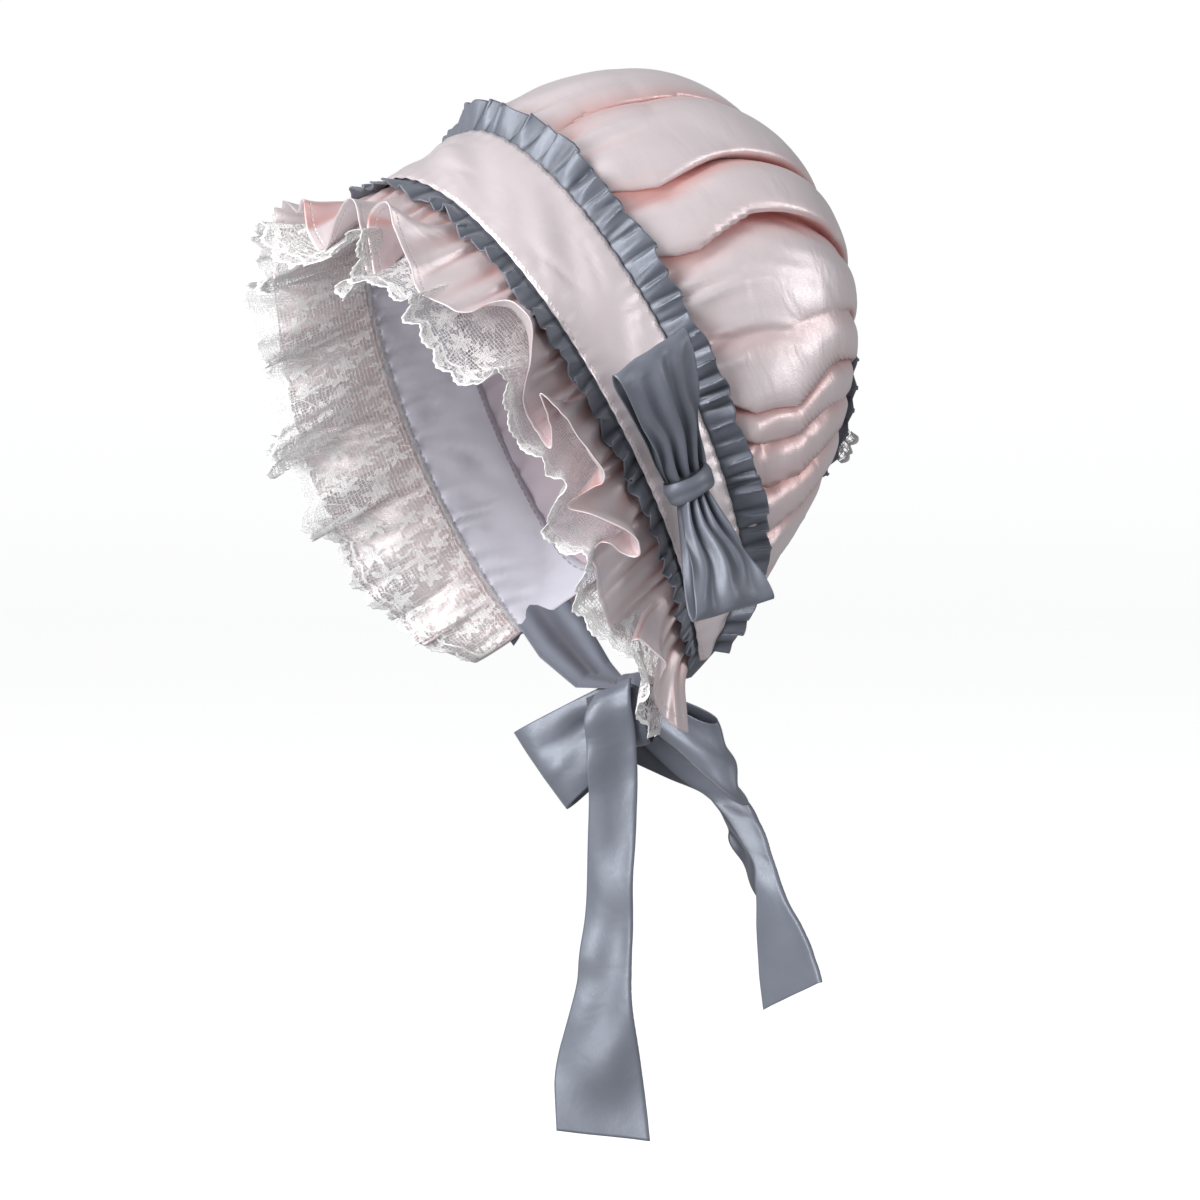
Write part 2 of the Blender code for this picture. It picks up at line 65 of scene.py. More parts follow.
def upright(angle):
    """Points of the band's front edge at angles from its top."""
    end_height = ARCH_DROP / math.sqrt(1 - (ARCH_END_HALF_WIDTH / ARCH_HALF_WIDTH) ** 2)
    height = np.where(np.abs(angle) <= math.pi / 2, ARCH_RISE, end_height)
    point = np.stack([ARCH_HALF_WIDTH * np.sin(angle), 0 * angle, height * np.cos(angle)], axis=-1)
    outward = np.stack([point[..., 0] / ARCH_HALF_WIDTH**2, 0 * angle, point[..., 2] / height**2], axis=-1)
    return point, unit(outward)


arch_angles = np.linspace(0.0, math.pi - math.asin(ARCH_END_HALF_WIDTH / ARCH_HALF_WIDTH), 400)
arch_lengths = np.cumsum(np.linalg.norm(np.diff(upright(arch_angles)[0], axis=0), axis=1))
HALF_ARCH = float(arch_lengths[-1])
arch_shares = np.concatenate([[0.0], arch_lengths / HALF_ARCH])


def arch(side, layer=0.0):
    """Points of the band's front edge and their outward way. side runs from -1 at the wearer's right
    ear to 1 at the left one, and layer counts layers of cloth outwards from the facing."""
    angle = np.sign(side) * np.interp(np.abs(side), arch_shares, arch_angles)
    point, outward = upright(angle)
    return point + outward * (layer * LAYER), outward


def band_width(side):
    return BAND_WIDTH * read(BAND_TAPER, np.abs(side), 1)


def worn(point):
    """Points of the upright bonnet, tipped forward as the bowed head holds it."""
    cosine, sine = math.cos(BOW_ANGLE), math.sin(BOW_ANGLE)
    back, up = point[..., 1], point[..., 2]
    tipped = np.stack([point[..., 0], back * cosine - up * sine, back * sine + up * cosine], axis=-1)
    return tipped - HEAD_SEAT


def column(values):
    return np.asarray(values)[..., None]


PANEL_RADIUS, PANEL_LAP, PANEL_SWEEP, PANEL_DOME = 0.026, 0.004, math.radians(158.0), 0.003
PANEL_LEAN = math.radians(32.0)
PANEL_CENTRE = np.array([0.0, 0.1185, -0.020])
PANEL_NORMAL = np.array([0.0, math.cos(PANEL_LEAN), -math.sin(PANEL_LEAN)])
PANEL_TOP = np.array([0.0, math.sin(PANEL_LEAN), math.cos(PANEL_LEAN)])
# Columns: share of the half arch from its top, then two Bezier handles in metres: back and out from the
# band, and out along and off the panel
CROWN_PUFF = (
    (0.00, 0.084, 0.018, 0.100, 0.008),
    (0.35, 0.076, 0.019, 0.088, 0.008),
    (0.70, 0.053, 0.016, 0.052, 0.005),
    (0.88, 0.039, 0.010, 0.032, 0.004),
    (1.00, 0.030, 0.005, 0.024, 0.003),
)


def panel_ray(angle):
    """Ways in the back panel's plane at angles from its top, towards the wearer's left."""
    sideways = np.stack([np.sin(angle), 0 * angle, 0 * angle], axis=-1)
    return sideways + PANEL_TOP * column(np.cos(angle))


def puffed(side, along, layer, fullness, inset):
    """A surface from the band's rear edge to the back panel, with a share of the crown's fullness."""
    seam, outward = arch(side, layer)
    start = seam + BACK * column(band_width(side))
    ray = panel_ray(side * PANEL_SWEEP)
    end = PANEL_CENTRE + ray * (PANEL_RADIUS - inset) - PANEL_NORMAL * inset
    back, out, along_panel, off_panel = (column(read(CROWN_PUFF, np.abs(side), i)) for i in range(1, 5))
    first = start + BACK * back * fullness + outward * out * (2 * fullness - 1)
    second = end + ray * along_panel * fullness + PANEL_NORMAL * off_panel * (2 * fullness - 1)
    share = column(along)
    rest = 1 - share
    return (
        start * rest**3
        + end * share**3
        + first * (3 * rest * rest * share)
        + second * (3 * rest * share * share)
    )


def wander(values, seed, waves=5):
    """A smooth irregular line between about -1 and 1, the same on every run."""
    numbers = np.random.default_rng(seed)
    total = 0 * values
    for wave in range(1, waves + 1):
        pace, start = wave * numbers.uniform(0.8, 1.25), numbers.uniform(0.0, TAU)
        total = total + np.sin(values * pace + start) / math.sqrt(wave)
    return total / 1.6


def rumple(across, along, seed, waves=9):
    """Soft unevenness over a sheet whose coordinates are in waves."""
    numbers = np.random.default_rng(seed)
    total = 0 * across
    for _ in range(waves):
        turn, pace, start = numbers.uniform(0.0, TAU), numbers.uniform(0.6, 1.6), numbers.uniform(0.0, TAU)
        total = total + np.sin(TAU * pace * (across * math.cos(turn) + along * math.sin(turn)) + start)
    return total / math.sqrt(waves)


def cloth(name, columns, rows, place, material, wall=0.0004, closed=False):
    """A sheet of cloth: a flat grid laid over place(u, v), which gives points, the flat cloth's own
    coordinates in metres and marks for the material. A closed one meets itself and is merged there."""
    grid = bmesh.new()
    bmesh.ops.create_grid(grid, x_segments=columns, y_segments=rows, size=0.5)
    mesh = bpy.data.meshes.new(name)
    grid.to_mesh(mesh)
    flat = np.empty(3 * len(mesh.vertices))
    mesh.vertices.foreach_get("co", flat)
    flat = flat.reshape(-1, 3) + 0.5
    points, across, along, marks = place(flat[:, 0], flat[:, 1])
    mesh.vertices.foreach_set("co", points.ravel())
    corners = np.empty(len(mesh.loops), dtype=np.int32)
    mesh.loops.foreach_get("vertex_index", corners)
    spread = np.stack([across + 0 * flat[:, 0], along + 0 * flat[:, 0]], axis=-1)[corners]
    mesh.uv_layers.new(name="flat").data.foreach_set("uv", spread.ravel())
    for mark in ("painted_shade", "hem"):
        values = np.broadcast_to(marks.get(mark, 0.0), flat[:, 0].shape)
        mesh.attributes.new(mark, "FLOAT", "POINT").data.foreach_set("value", values)
    if closed:
        grid.clear()
        grid.from_mesh(mesh)
        bmesh.ops.remove_doubles(grid, verts=grid.verts, dist=1e-6)
        grid.to_mesh(mesh)
    grid.free()
    mesh.shade_smooth()
    mesh.materials.append(material)
    sheet = bpy.data.objects.new(name, mesh)
    bpy.context.scene.collection.objects.link(sheet)
    thickness = sheet.modifiers.new("wall", "SOLIDIFY")
    thickness.thickness = wall
    thickness.offset = 0.0
    return sheet


def linear(code):
    """A hex sRGB colour, turned linear."""
    levels = [int(code[i : i + 2], 16) / 255 for i in (1, 3, 5)]
    return (*(c / 12.92 if c <= 0.04045 else ((c + 0.055) / 1.055) ** 2.4 for c in levels), 1.0)


def add(tree, kind, inputs=None, output=0, **settings):
    """A node with its settings, its values and its links. Gives one of its outputs."""
    made = tree.nodes.new("ShaderNode" + kind)
    for name, value in settings.items():
        setattr(made, name, value)
    for socket, value in (inputs or {}).items():
        if isinstance(value, bpy.types.NodeSocket):
            tree.links.new(value, made.inputs[socket])
        else:
            made.inputs[socket].default_value = value
    return made.outputs[output]


# Settings of a range that eases in and out, and of a mix of two colours
EASED = {"interpolation_type": "SMOOTHSTEP"}
COLOUR = {"output": 2, "data_type": "RGBA"}


def start_cloth(name, **values):
    """A new material with its shader, the flat cloth's coordinates and the marks of its sheet: its painted
    shade and its hem.
    """
    material = bpy.data.materials.new(name)
    material.use_nodes = True
    tree = material.node_tree
    shader = tree.nodes["Principled BSDF"]
    for socket, value in values.items():
        shader.inputs[socket.replace("_", " ")].default_value = value
    flat = add(tree, "UVMap", output="UV", uv_map="flat")
    painted_shade = add(tree, "Attribute", output="Fac", attribute_name="painted_shade")
    hem = add(tree, "Attribute", output="Fac", attribute_name="hem")
    return material, tree, shader, flat, painted_shade, hem


def sewn(tree, flat, hem, line, pitch, run):
    """Where running stitches lie: a line at a distance from the hem, pitch apart, each run long."""
    near = add(tree, "Math", {0: hem, 1: line}, operation="SUBTRACT")
    near = add(tree, "Math", {0: near}, operation="ABSOLUTE")
    near = add(tree, "MapRange", {0: near, 1: 0.0002, 2: 0.00055, 3: 1.0, 4: 0.0}, **EASED)
    across = add(tree, "SeparateXYZ", {0: flat}, "X")
    place = add(tree, "Math", {0: across, 1: pitch}, operation="PINGPONG")
    there = add(tree, "MapRange", {0: place, 1: run - 0.0002, 2: run, 3: 1.0, 4: 0.0}, **EASED)
    return add(tree, "Math", {0: near, 1: there}, operation="MULTIPLY")


def lawn(name, plain, shade, painted_shade_colour, stitches):
    """Cotton lawn: a thin matt plain weave with a faint slub."""
    material, tree, shader, flat, painted_shade, hem = start_cloth(name, Roughness=0.82, Sheen_Weight=0.25)
    cloudy = add(tree, "TexNoise", {"Vector": flat, "Scale": 55.0, "Detail": 3.0})
    base = add(tree, "Mix", {0: cloudy, 6: linear(shade), 7: linear(plain)}, **COLOUR)
    # Painted shade: the colour is darkened toward a deep shade colour where the sheet's mark of painted
    # shade is high
    base = add(tree, "Mix", {0: painted_shade, 6: base, 7: linear(painted_shade_colour)}, **COLOUR)
    stitch = sewn(tree, flat, hem, line=0.0022, pitch=0.0014, run=0.0009)
    base = add(tree, "Mix", {0: stitch, 6: base, 7: linear(stitches)}, **COLOUR)
    tree.links.new(base, shader.inputs["Base Color"])
    # Threads 0.35 mm apart, drawn as coarse as they need to show
    weave = add(tree, "TexChecker", {"Vector": flat, "Scale": 1 / 0.00035}, "Fac")
    slub = add(tree, "TexNoise", {"Vector": flat, "Scale": 260.0, "Detail": 4.0})
    grain = add(tree, "Math", {0: slub, 1: weave}, operation="MULTIPLY")
    grain = add(tree, "Bump", {"Strength": 0.35, "Distance": 0.0002, "Height": grain})
    stitch = {"Strength": 0.7, "Distance": 0.0004, "Height": stitch, "Normal": grain}
    tree.links.new(add(tree, "Bump", stitch, invert=True), shader.inputs["Normal"])
    return material


FACING_LIP, FACING_PUCKER, FACING_PUCKER_PITCH = 0.0030, 0.0019, 0.0088
WHITE_LAWN = lawn("white_cotton_lawn", "#d6d5de", "#c9c8d3", painted_shade_colour="#bfa3aa", stitches="#bab7c2")
LINING_FULLNESS = 0.78


def facing_place(u, v):
    side = 2 * u - 1
    point, outward = arch(side, FACING_LAYER)
    width = BAND_WIDTH * read(FACING_WIDTHS, np.abs(side), 1)
    front = (width + FACING_LIP) * v - FACING_LIP
    across = side * HALF_ARCH
    past = np.maximum(front - band_width(side), 0.0)
    # Past the band's rear edge the facing lies against the crown's lining
    pace = 3 * LINING_FULLNESS * read(CROWN_PUFF, np.abs(side), 1)
    rear = puffed(side, past / pace, FACING_LAYER, LINING_FULLNESS, 2 * LAYER)
    point = np.where(column(past) > 0, rear, point + BACK * column(front))
    phase = TAU * (across + 0.6 * front) / FACING_PUCKER_PITCH + 2.2 * wander(across * 80, 3)
    inward = front + FACING_LIP
    pucker = FACING_PUCKER * np.exp(-inward / 0.013) * (1 - 0.8 * np.exp(-inward / 0.004)) * np.sin(phase)
    slack = 0.0012 * rumple(across / 0.022 + front / 0.03, front / 0.06, 5) * np.sin(math.pi * v)
    point = point - outward * column(pucker + np.abs(slack))
    return worn(point), across, front, {"hem": np.minimum(inward, width - front)}


facing = cloth("facing", 420, 12, facing_place, WHITE_LAWN)
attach(facing, "root")
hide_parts("band_facing")

# Lace
# A gathered edging of fine machine-made cotton lace is sewn inside the brim and hangs past its hem: a
# hexagon net with sprigs and leaves worked close, a scalloped edge and a row of picots along it.
TUCK, TUCK_SHARE = 0.005, 0.35
BRIM_FLARE_TOP, BRIM_FLARE_SIDE = math.radians(22.0), math.radians(38.0)
BRIM_FOLDS, BRIM_FOLD_DEPTH, BRIM_END_DROOP = 14, 0.0085, 0.017
BRIM_WIDTH, LACE_WIDTH, LACE_STAND_OFF = 0.040, 0.050, 0.0040
# Columns: side, then shares of the width, of BRIM_END_DROOP and of the flare
BRIM_SIDES = (
    (-1.00, 0.62, -0.25, 0.90),
    (-0.92, 0.92, -0.10, 1.00),
    (-0.80, 1.12, 0.00, 1.00),
    (-0.60, 1.10, 0.00, 1.00),
    (-0.45, 1.00, 0.00, 1.00),
    (-0.25, 0.90, 0.00, 1.00),
    (-0.05, 0.97, 0.00, 1.00),
    (0.30, 1.00, 0.00, 1.00),
    (0.80, 1.00, 0.08, 1.00),
    (0.92, 0.88, 0.50, 0.70),
    (0.97, 0.70, 0.75, 0.45),
    (1.00, 0.34, 0.85, 0.25),
)
BRIM_SAG = 0.42
GATHER_PITCH, GATHER_DEPTH, GATHER_REACH = 0.0095, 0.0015, 0.018
SCALLOP, SCALLOP_DEPTH, PICOT_PITCH, PICOT_DEPTH = 0.012, 0.0036, 0.0030, 0.0005
# Columns: side, share of the lace's width that is left where it is drawn up into flounces
LACE_REACH = (
    (-1.00, 0.78), (-0.85, 0.82), (-0.74, 0.82), (-0.68, 0.95), (-0.63, 0.85), (-0.57, 1.03), (-0.50, 0.92),
    (-0.42, 0.90), (-0.36, 0.99), (-0.28, 1.08), (-0.22, 0.98), (-0.12, 1.06), (0.00, 1.00), (1.00, 1.00),
)
# Columns: side of the hem and its height off the flare in millimetres, a row for each turn of the hem
# from the wearer's right cheek over the face and down to the left ear
LACE_TURNS = (
    (-0.745, 1.0), (-0.700, 0.0), (-0.680, -8.0), (-0.705, -14.0), (-0.670, -18.0), (-0.625, -10.0),
    (-0.600, 0.0), (-0.565, 1.0), (-0.530, -6.0), (-0.545, -14.0), (-0.580, -19.0), (-0.520, -22.0),
    (-0.480, -13.0), (-0.470, -3.0), (-0.430, 1.0), (-0.385, -6.0), (-0.395, -13.0), (-0.345, -15.0),
    (-0.320, -5.0), (-0.280, 1.0), (-0.240, -7.0), (-0.230, -15.0), (-0.190, -18.0), (-0.165, -9.0),
    (-0.140, -2.0), (-0.110, -5.0),
    (-0.090, -2.0), (-0.095, -9.5), (-0.055, -20.0), (0.005, -21.0), (0.060, -15.5), (0.100, -2.5),
    (0.125, 8.0), (0.135, -2.0), (0.135, -16.0), (0.130, -25.0), (0.105, -22.5), (0.125, -16.5),
    (0.155, -11.0), (0.185, -7.5), (0.230, -4.0), (0.240, 3.0), (0.250, -9.0), (0.280, -7.5),
    (0.310, -10.0), (0.340, -12.0), (0.370, -9.0), (0.390, -3.5), (0.395, 4.5), (0.390, 13.0),
    (0.410, 12.0), (0.435, 7.0), (0.460, 2.5), (0.490, -0.5), (0.505, 1.5), (0.535, 6.5), (0.550, 6.0),
    (0.575, 9.5), (0.595, -0.5), (0.620, -6.5), (0.630, -11.0), (0.655, -9.0), (0.670, -4.5),
    (0.685, 4.0), (0.720, -6.0), (0.755, -11.5), (0.780, -9.5), (0.805, -6.5), (0.825, -1.0),
    (0.840, 5.0), (0.885, 11.0), (0.930, 2.0), (0.960, 4.0), (0.990, 0.0),
)


def brim_lift(side):
    flare = BRIM_FLARE_TOP + (BRIM_FLARE_SIDE - BRIM_FLARE_TOP) * np.sin(np.abs(side) * math.pi / 2)
    return flare * read(BRIM_SIDES, side, 3)


def through(points, steps=14):
    """A soft line through rows of numbers."""
    rows = np.vstack([2 * points[0] - points[1], points, 2 * points[-1] - points[-2]])
    t = np.linspace(0.0, 1.0, steps, endpoint=False)[:, None]
    parts = []
    for a, b, c, d in zip(rows, rows[1:], rows[2:], rows[3:]):
        parts.append(b + 0.5 * t * (c - a + t * (2 * a - 5 * b + 4 * c - d + t * (3 * (b - c) + d - a))))
    return np.vstack([*parts, points[-1:]])


def hem_line(turns, depth, roll):
    """The hem from the wearer's right ear round to the left: flutes drawn up by hand, then the turns of
    a table. Gives shares of the hem's length with the sides of the root and hem and the hem's height."""
    turns = np.array(turns) * (1.0, 0.001)
    side = np.linspace(-1.0, turns[0, 0] - 0.02, 700)
    phase = math.pi * BRIM_FOLDS * side + 0.9 * wander(side * 9, 21) + 0.35 * wander(side * 31, 22)
    uneven = 1 + 0.28 * wander(side * 23, 30)
    height = depth * uneven * (np.cos(phase) + 0.16 * np.cos(2 * phase + 0.6))
    flutes = np.stack([side - roll * uneven * np.sin(2 * phase) / HALF_ARCH, height], axis=-1)
    line = np.vstack([flutes[:-1], through(np.vstack([flutes[-1:], turns]))])
    steps = np.hypot(np.diff(line[:, 0]) * HALF_ARCH * 1.1, np.diff(line[:, 1]))
    share = np.concatenate([[0.0], np.cumsum(steps)]) / steps.sum()
    even = np.linspace(0.0, 1.0, 2001)
    root = np.interp(even, share, line[:, 0])
    for window in (160, 70):
        root = np.pad(root, window, mode="reflect", reflect_type="odd")
        root = np.convolve(root, np.ones(2 * window + 1) / (2 * window + 1), mode="valid")
        root = np.clip(np.maximum.accumulate(root), -1.0, 1.0)
    hem_side = np.interp(even, share, line[:, 0])
    return even, root, hem_side, np.interp(even, share, line[:, 1]), steps.sum()


def strip(side, share, layer, way, edge, width, lift, lap, out_of_face=0.0, sideways=0.0, droop=0.0):
    """A strip that leaves the band forwards, way -1, or backwards, way 1. share runs from -0.5 under
    the band through 0 at its edge to 1 at the free edge."""
    seam, outward = arch(side, layer)
    seam = seam + BACK * column(edge)
    onward = np.maximum(share, 0.0)
    under = np.minimum(share, 0.0) * 2
    run = BACK * way * column(np.cos(lift)) + outward * column(np.sin(lift))
    normal = outward * column(np.cos(lift)) - BACK * way * column(np.sin(lift))
    along_arch = np.cross(outward, BACK)
    point = seam + BACK * way * column(under * lap) + run * column(width * onward)
    point = point + normal * column(out_of_face * onward) - along_arch * column(sideways * onward)
    point[..., 2] -= droop * onward**2
    return point


def gathers(side):
    """Fine gathers where the brim is sewn in, deeper towards the wearer's left."""
    drawn_up = np.interp(side, (-0.6, 0.1), (0.35, 1.0))
    return drawn_up * np.sin(TAU * side * HALF_ARCH / GATHER_PITCH + 2.5 * wander(side * 19, 32))


def flounce(u, share, line, layer, width, stand_off, lap, lift_share):
    """The brim or its lace: rooted along the band and drawn out to the turns of its own hem."""
    even, *columns, _ = line
    root, hem_side, height = (np.interp(u, even, values) for values in columns)
    onward = np.maximum(share, 0.0)
    side = np.clip(root + (hem_side - root) * onward**1.15, -1.0, 1.0)
    width = width * read(BRIM_SIDES, side, 1)
    fine = 0.0006 * rumple(side * HALF_ARCH / 0.016, share * 1.3, 31)
    gathered = gathers(side) * np.exp(-onward * width / GATHER_REACH) * np.minimum(onward * 8, 1.0)
    fine = fine + GATHER_DEPTH * gathered / np.maximum(onward, 0.06)
    # It leaves the band almost in line with it and flares further out
    lift = brim_lift(side) * lift_share(side)
    sag = BRIM_SAG * np.sin(lift) / math.sin(BRIM_FLARE_SIDE) * width * np.maximum(1 - onward, 0.0)
    point = strip(
        side,
        share,
        layer=layer,
        way=-1,
        edge=-stand_off,
        width=width,
        lift=lift,
        lap=lap(side),
        out_of_face=height * onward**0.5 + fine - sag,
        sideways=0.012 * np.clip((hem_side - 0.92) / 0.08, 0.0, 1.0) ** 1.5,
        droop=BRIM_END_DROOP * read(BRIM_SIDES, side, 2),
    )
    return point, side, width


def tuck(side):
    """How far a strip is tucked under the band."""
    return np.minimum(TUCK, TUCK_SHARE * band_width(side))


def lace_lift(side):
    """The lace stands up with the brim on one side and hangs a little clear of it on the other."""
    share = np.clip((side + 0.1) / 0.25, 0.0, 1.0)
    return 1 - 0.3 * share * share * (3 - 2 * share)


LACE_HEM = hem_line(LACE_TURNS, BRIM_FOLD_DEPTH * 0.8, 0.0022)
LACE_LENGTH = LACE_HEM[-1]


def from_tuck(v, under, pace):
    """Shares of a strip's width, where the first few rows under the band are pace times as far apart."""
    share = (1 + under) * v - under
    return np.maximum(share, 0.0) + np.minimum(share, 0.0) * pace


def lace_place(u, v):
    share = from_tuck(v, 0.04, 12)
    onward = np.maximum(share, 0.0)
    across = u * LACE_LENGTH
    bow = np.abs(np.sin(math.pi * across / SCALLOP)) ** 0.75
    picot = PICOT_DEPTH * np.sin(TAU * across / PICOT_PITCH)
    drawn = read(LACE_REACH, np.interp(u, LACE_HEM[0], LACE_HEM[2]), 1)
    reach = LACE_WIDTH * drawn + (SCALLOP_DEPTH * bow + picot - 0.002) * onward**6
    point, side, width = flounce(
        u,
        share,
        LACE_HEM,
        layer=-1,
        width=reach,
        stand_off=LACE_STAND_OFF,
        lap=lambda side: LACE_STAND_OFF - LAYER,
        lift_share=lace_lift,
    )
    ripple = 0.0009 * np.sin(TAU * across / 0.019 + 3 * wander(across * 40, 33)) * onward**1.5
    _, outward = arch(side)
    point = point - outward * column(ripple)
    return worn(point), across, width * share, {"hem": width * (1 - onward)}


def worked_lace():
    """Mercerised cotton thread, white and faintly glossy, over a net of open holes."""
    material, tree, shader, flat, _, hem = start_cloth("cotton_lace", Roughness=0.62, Sheen_Weight=0.2)

    def holes(where, apart, uneven, low, high, start, end):
        """Threads between holes, from start at the middle of a thread to end clear of it."""
        cells = {"Vector": where, "Scale": 1 / apart, "Randomness": uneven}
        kind = {"voronoi_dimensions": "2D", "feature": "DISTANCE_TO_EDGE"}
        off = add(tree, "TexVoronoi", cells, "Distance", **kind)
        return add(tree, "MapRange", {0: off, 1: low, 2: high, 3: start, 4: end}, **EASED)

    def corded(value, middle, low, high, strength=1.0):
        """A cord where the value passes the middle, faded out between low and high off it."""
        off = add(tree, "Math", {0: value, 1: middle}, operation="SUBTRACT")
        off = add(tree, "Math", {0: off}, operation="ABSOLUTE")
        return add(tree, "MapRange", {0: off, 1: low, 2: high, 3: strength, 4: 0.0}, **EASED)

    # Net holes 1.5 mm apart
    net = holes(flat, 0.0015, 0.35, 0.04, 0.13, 0.75, 0.0)
    # Sprigs of five open petals 14 mm apart, outlined by a cord and filled with a close mesh
    warp = add(tree, "TexNoise", {"Vector": flat, "Scale": 90.0, "Detail": 1.0}, 1)
    warp = add(tree, "VectorMath", {0: warp, 1: (0.5, 0.5, 0.5)}, operation="SUBTRACT")
    bent = add(tree, "VectorMath", {0: warp, 1: (0.006, 0.006, 0.0), 2: flat}, operation="MULTIPLY_ADD")
    cells = {"Vector": bent, "Scale": 1 / 0.014, "Randomness": 0.6}
    middle = add(tree, "TexVoronoi", cells, "Position", voronoi_dimensions="2D")
    away = add(tree, "VectorMath", {0: bent, 1: middle}, operation="SUBTRACT")
    x, y = (add(tree, "SeparateXYZ", {0: away}, axis) for axis in "XY")
    petal = add(tree, "Math", {0: y, 1: x}, operation="ARCTAN2")
    petal = add(tree, "Math", {0: petal, 1: 5.0}, operation="MULTIPLY")
    petal = add(tree, "Math", {0: petal}, operation="COSINE")
    petal = add(tree, "Math", {0: petal, 1: 0.13, 2: 0.26}, operation="MULTIPLY_ADD")
    petal = add(tree, "Math", {0: petal, 1: middle.node.outputs["Distance"]}, operation="SUBTRACT")
    # Leaves worked close between them, and stems 11 mm apart that join everything
    leaves = add(tree, "TexNoise", {"Vector": bent, "Scale": 260.0, "Detail": 2.5, "Distortion": 1.4})
    petals_filled = add(tree, "MapRange", {0: petal, 1: 0.0, 2: 0.02}, **EASED)
    leaves_filled = add(tree, "MapRange", {0: leaves, 1: 0.605, 2: 0.62}, **EASED)
    close_mesh = holes(flat, 0.0008, 0.8, 0.12, 0.30, 0.90, 0.35)
    filled = add(tree, "Math", {0: petals_filled, 1: leaves_filled}, operation="MAXIMUM")
    work = add(tree, "Math", {0: filled, 1: close_mesh}, operation="MULTIPLY")
    for part in (
        corded(petal, 0.0, 0.010, 0.035),
        corded(leaves, 0.61, 0.006, 0.020),
        holes(bent, 0.011, 0.9, 0.008, 0.026, 0.8, 0.0),
    ):
        work = add(tree, "Math", {0: work, 1: part}, operation="MAXIMUM")
    # Toward the edge the work grows close, and the last 1.5 mm is a cord with its picots
    edge = add(tree, "MapRange", {0: hem, 1: 0.006, 2: 0.034, 3: 1.0, 4: 0.55}, **EASED)
    cover = add(tree, "Math", {0: work, 1: edge}, operation="MULTIPLY")
    cord = add(tree, "MapRange", {0: hem, 1: 0.0010, 2: 0.0020, 3: 1.0, 4: 0.0}, **EASED)
    for part in (net, cord, corded(hem, 0.0058, 0.0003, 0.0008, 0.8)):
        cover = add(tree, "Math", {0: cover, 1: part}, operation="MAXIMUM")
    alpha = add(tree, "MapRange", {0: cover, 3: 0.04, 4: 0.97}, **EASED)
    tree.links.new(alpha, shader.inputs["Alpha"])
    tone = add(tree, "TexNoise", {"Vector": flat, "Scale": 80.0})
    base = add(tree, "Mix", {0: tone, 6: linear("#fbf9f8"), 7: linear("#ffffff")}, **COLOUR)
    tree.links.new(base, shader.inputs["Base Color"])
    bump = add(tree, "Bump", {"Strength": 0.8, "Distance": 0.0003, "Height": cover})
    tree.links.new(bump, shader.inputs["Normal"])
    return material


COTTON_LACE = worked_lace()
lace = cloth("lace_edging", 1000, 42, lace_place, COTTON_LACE, wall=0.00025)
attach(lace, "root")
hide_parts("brim_lace")

# Brim ruffle
# A strip of pale pink silk satin, gathered along the band and hemmed by machine 3 mm in, stands round
# the face in deep flutes. Satin shows long soft lights, and a painted shade deepens the colour where folds
# face inwards.


def silk_satin(name, light, mid, painted_shade_colour, painted_shade_share, gloss, metal, coat, coat_roughness):
    """Silk satin: warp floats lie side by side and give a smooth, soft and one-way gloss."""
    material, tree, shader, flat, painted_shade, hem = start_cloth(
        name,
        Metallic=metal,
        Sheen_Weight=0.20,
        Sheen_Roughness=0.4,
        Specular_IOR_Level=0.6,
        Coat_Weight=coat,
        Coat_Roughness=coat_roughness,
    )
    cloudy = add(tree, "TexNoise", {"Vector": flat, "Scale": 28.0, "Detail": 4.0, "Roughness": 0.6})
    base = add(tree, "Mix", {0: cloudy, 6: linear(mid), 7: linear(light)}, **COLOUR)
    # Painted shade: the colour is darkened toward a deep shade colour where the sheet's mark of painted
    # shade is high
    depth = add(tree, "Math", {0: painted_shade, 1: painted_shade_share}, operation="MULTIPLY")
    base = add(tree, "Mix", {0: depth, 6: base, 7: linear(painted_shade_colour)}, **COLOUR)
    stitch = sewn(tree, flat, hem, line=0.0032, pitch=0.0012, run=0.0008)
    base = add(tree, "Mix", {0: stitch, 6: base, 7: linear(mid)}, **COLOUR)
    tree.links.new(base, shader.inputs["Base Color"])
    # Warp floats 0.3 mm apart, drawn as coarse as they need to show
    floats = add(tree, "Mapping", {0: flat, "Scale": (0.0003, 0.0022, 1.0)}, vector_type="TEXTURE")
    thread = add(tree, "TexNoise", {"Vector": floats, "Scale": 1.0, "Detail": 2.0})
    rough = add(tree, "MapRange", {0: thread, 1: 0.3, 2: 0.7, 3: gloss - 0.05, 4: gloss + 0.08})
    tree.links.new(rough, shader.inputs["Roughness"])
    crush = add(tree, "TexNoise", {"Vector": flat, "Scale": 60.0, "Detail": 2.0, "Distortion": 0.6})
    relief = add(tree, "Bump", {"Strength": 0.5, "Distance": 0.00012, "Height": thread})
    relief = {"Strength": 0.35, "Distance": 0.0014, "Height": crush, "Normal": relief}
    relief = {"Strength": 0.45, "Distance": 0.0004, "Height": stitch, "Normal": add(tree, "Bump", relief)}
    tree.links.new(add(tree, "Bump", relief, invert=True), shader.inputs["Normal"])
    return material


PINK_SATIN = silk_satin(
    "pink_silk_satin",
    light="#eee4e6",
    mid="#e2d5d8",
    painted_shade_colour="#d37f72",
    painted_shade_share=0.85,
    gloss=0.36,
    metal=0.40,
    coat=0.25,
    coat_roughness=0.32,
)
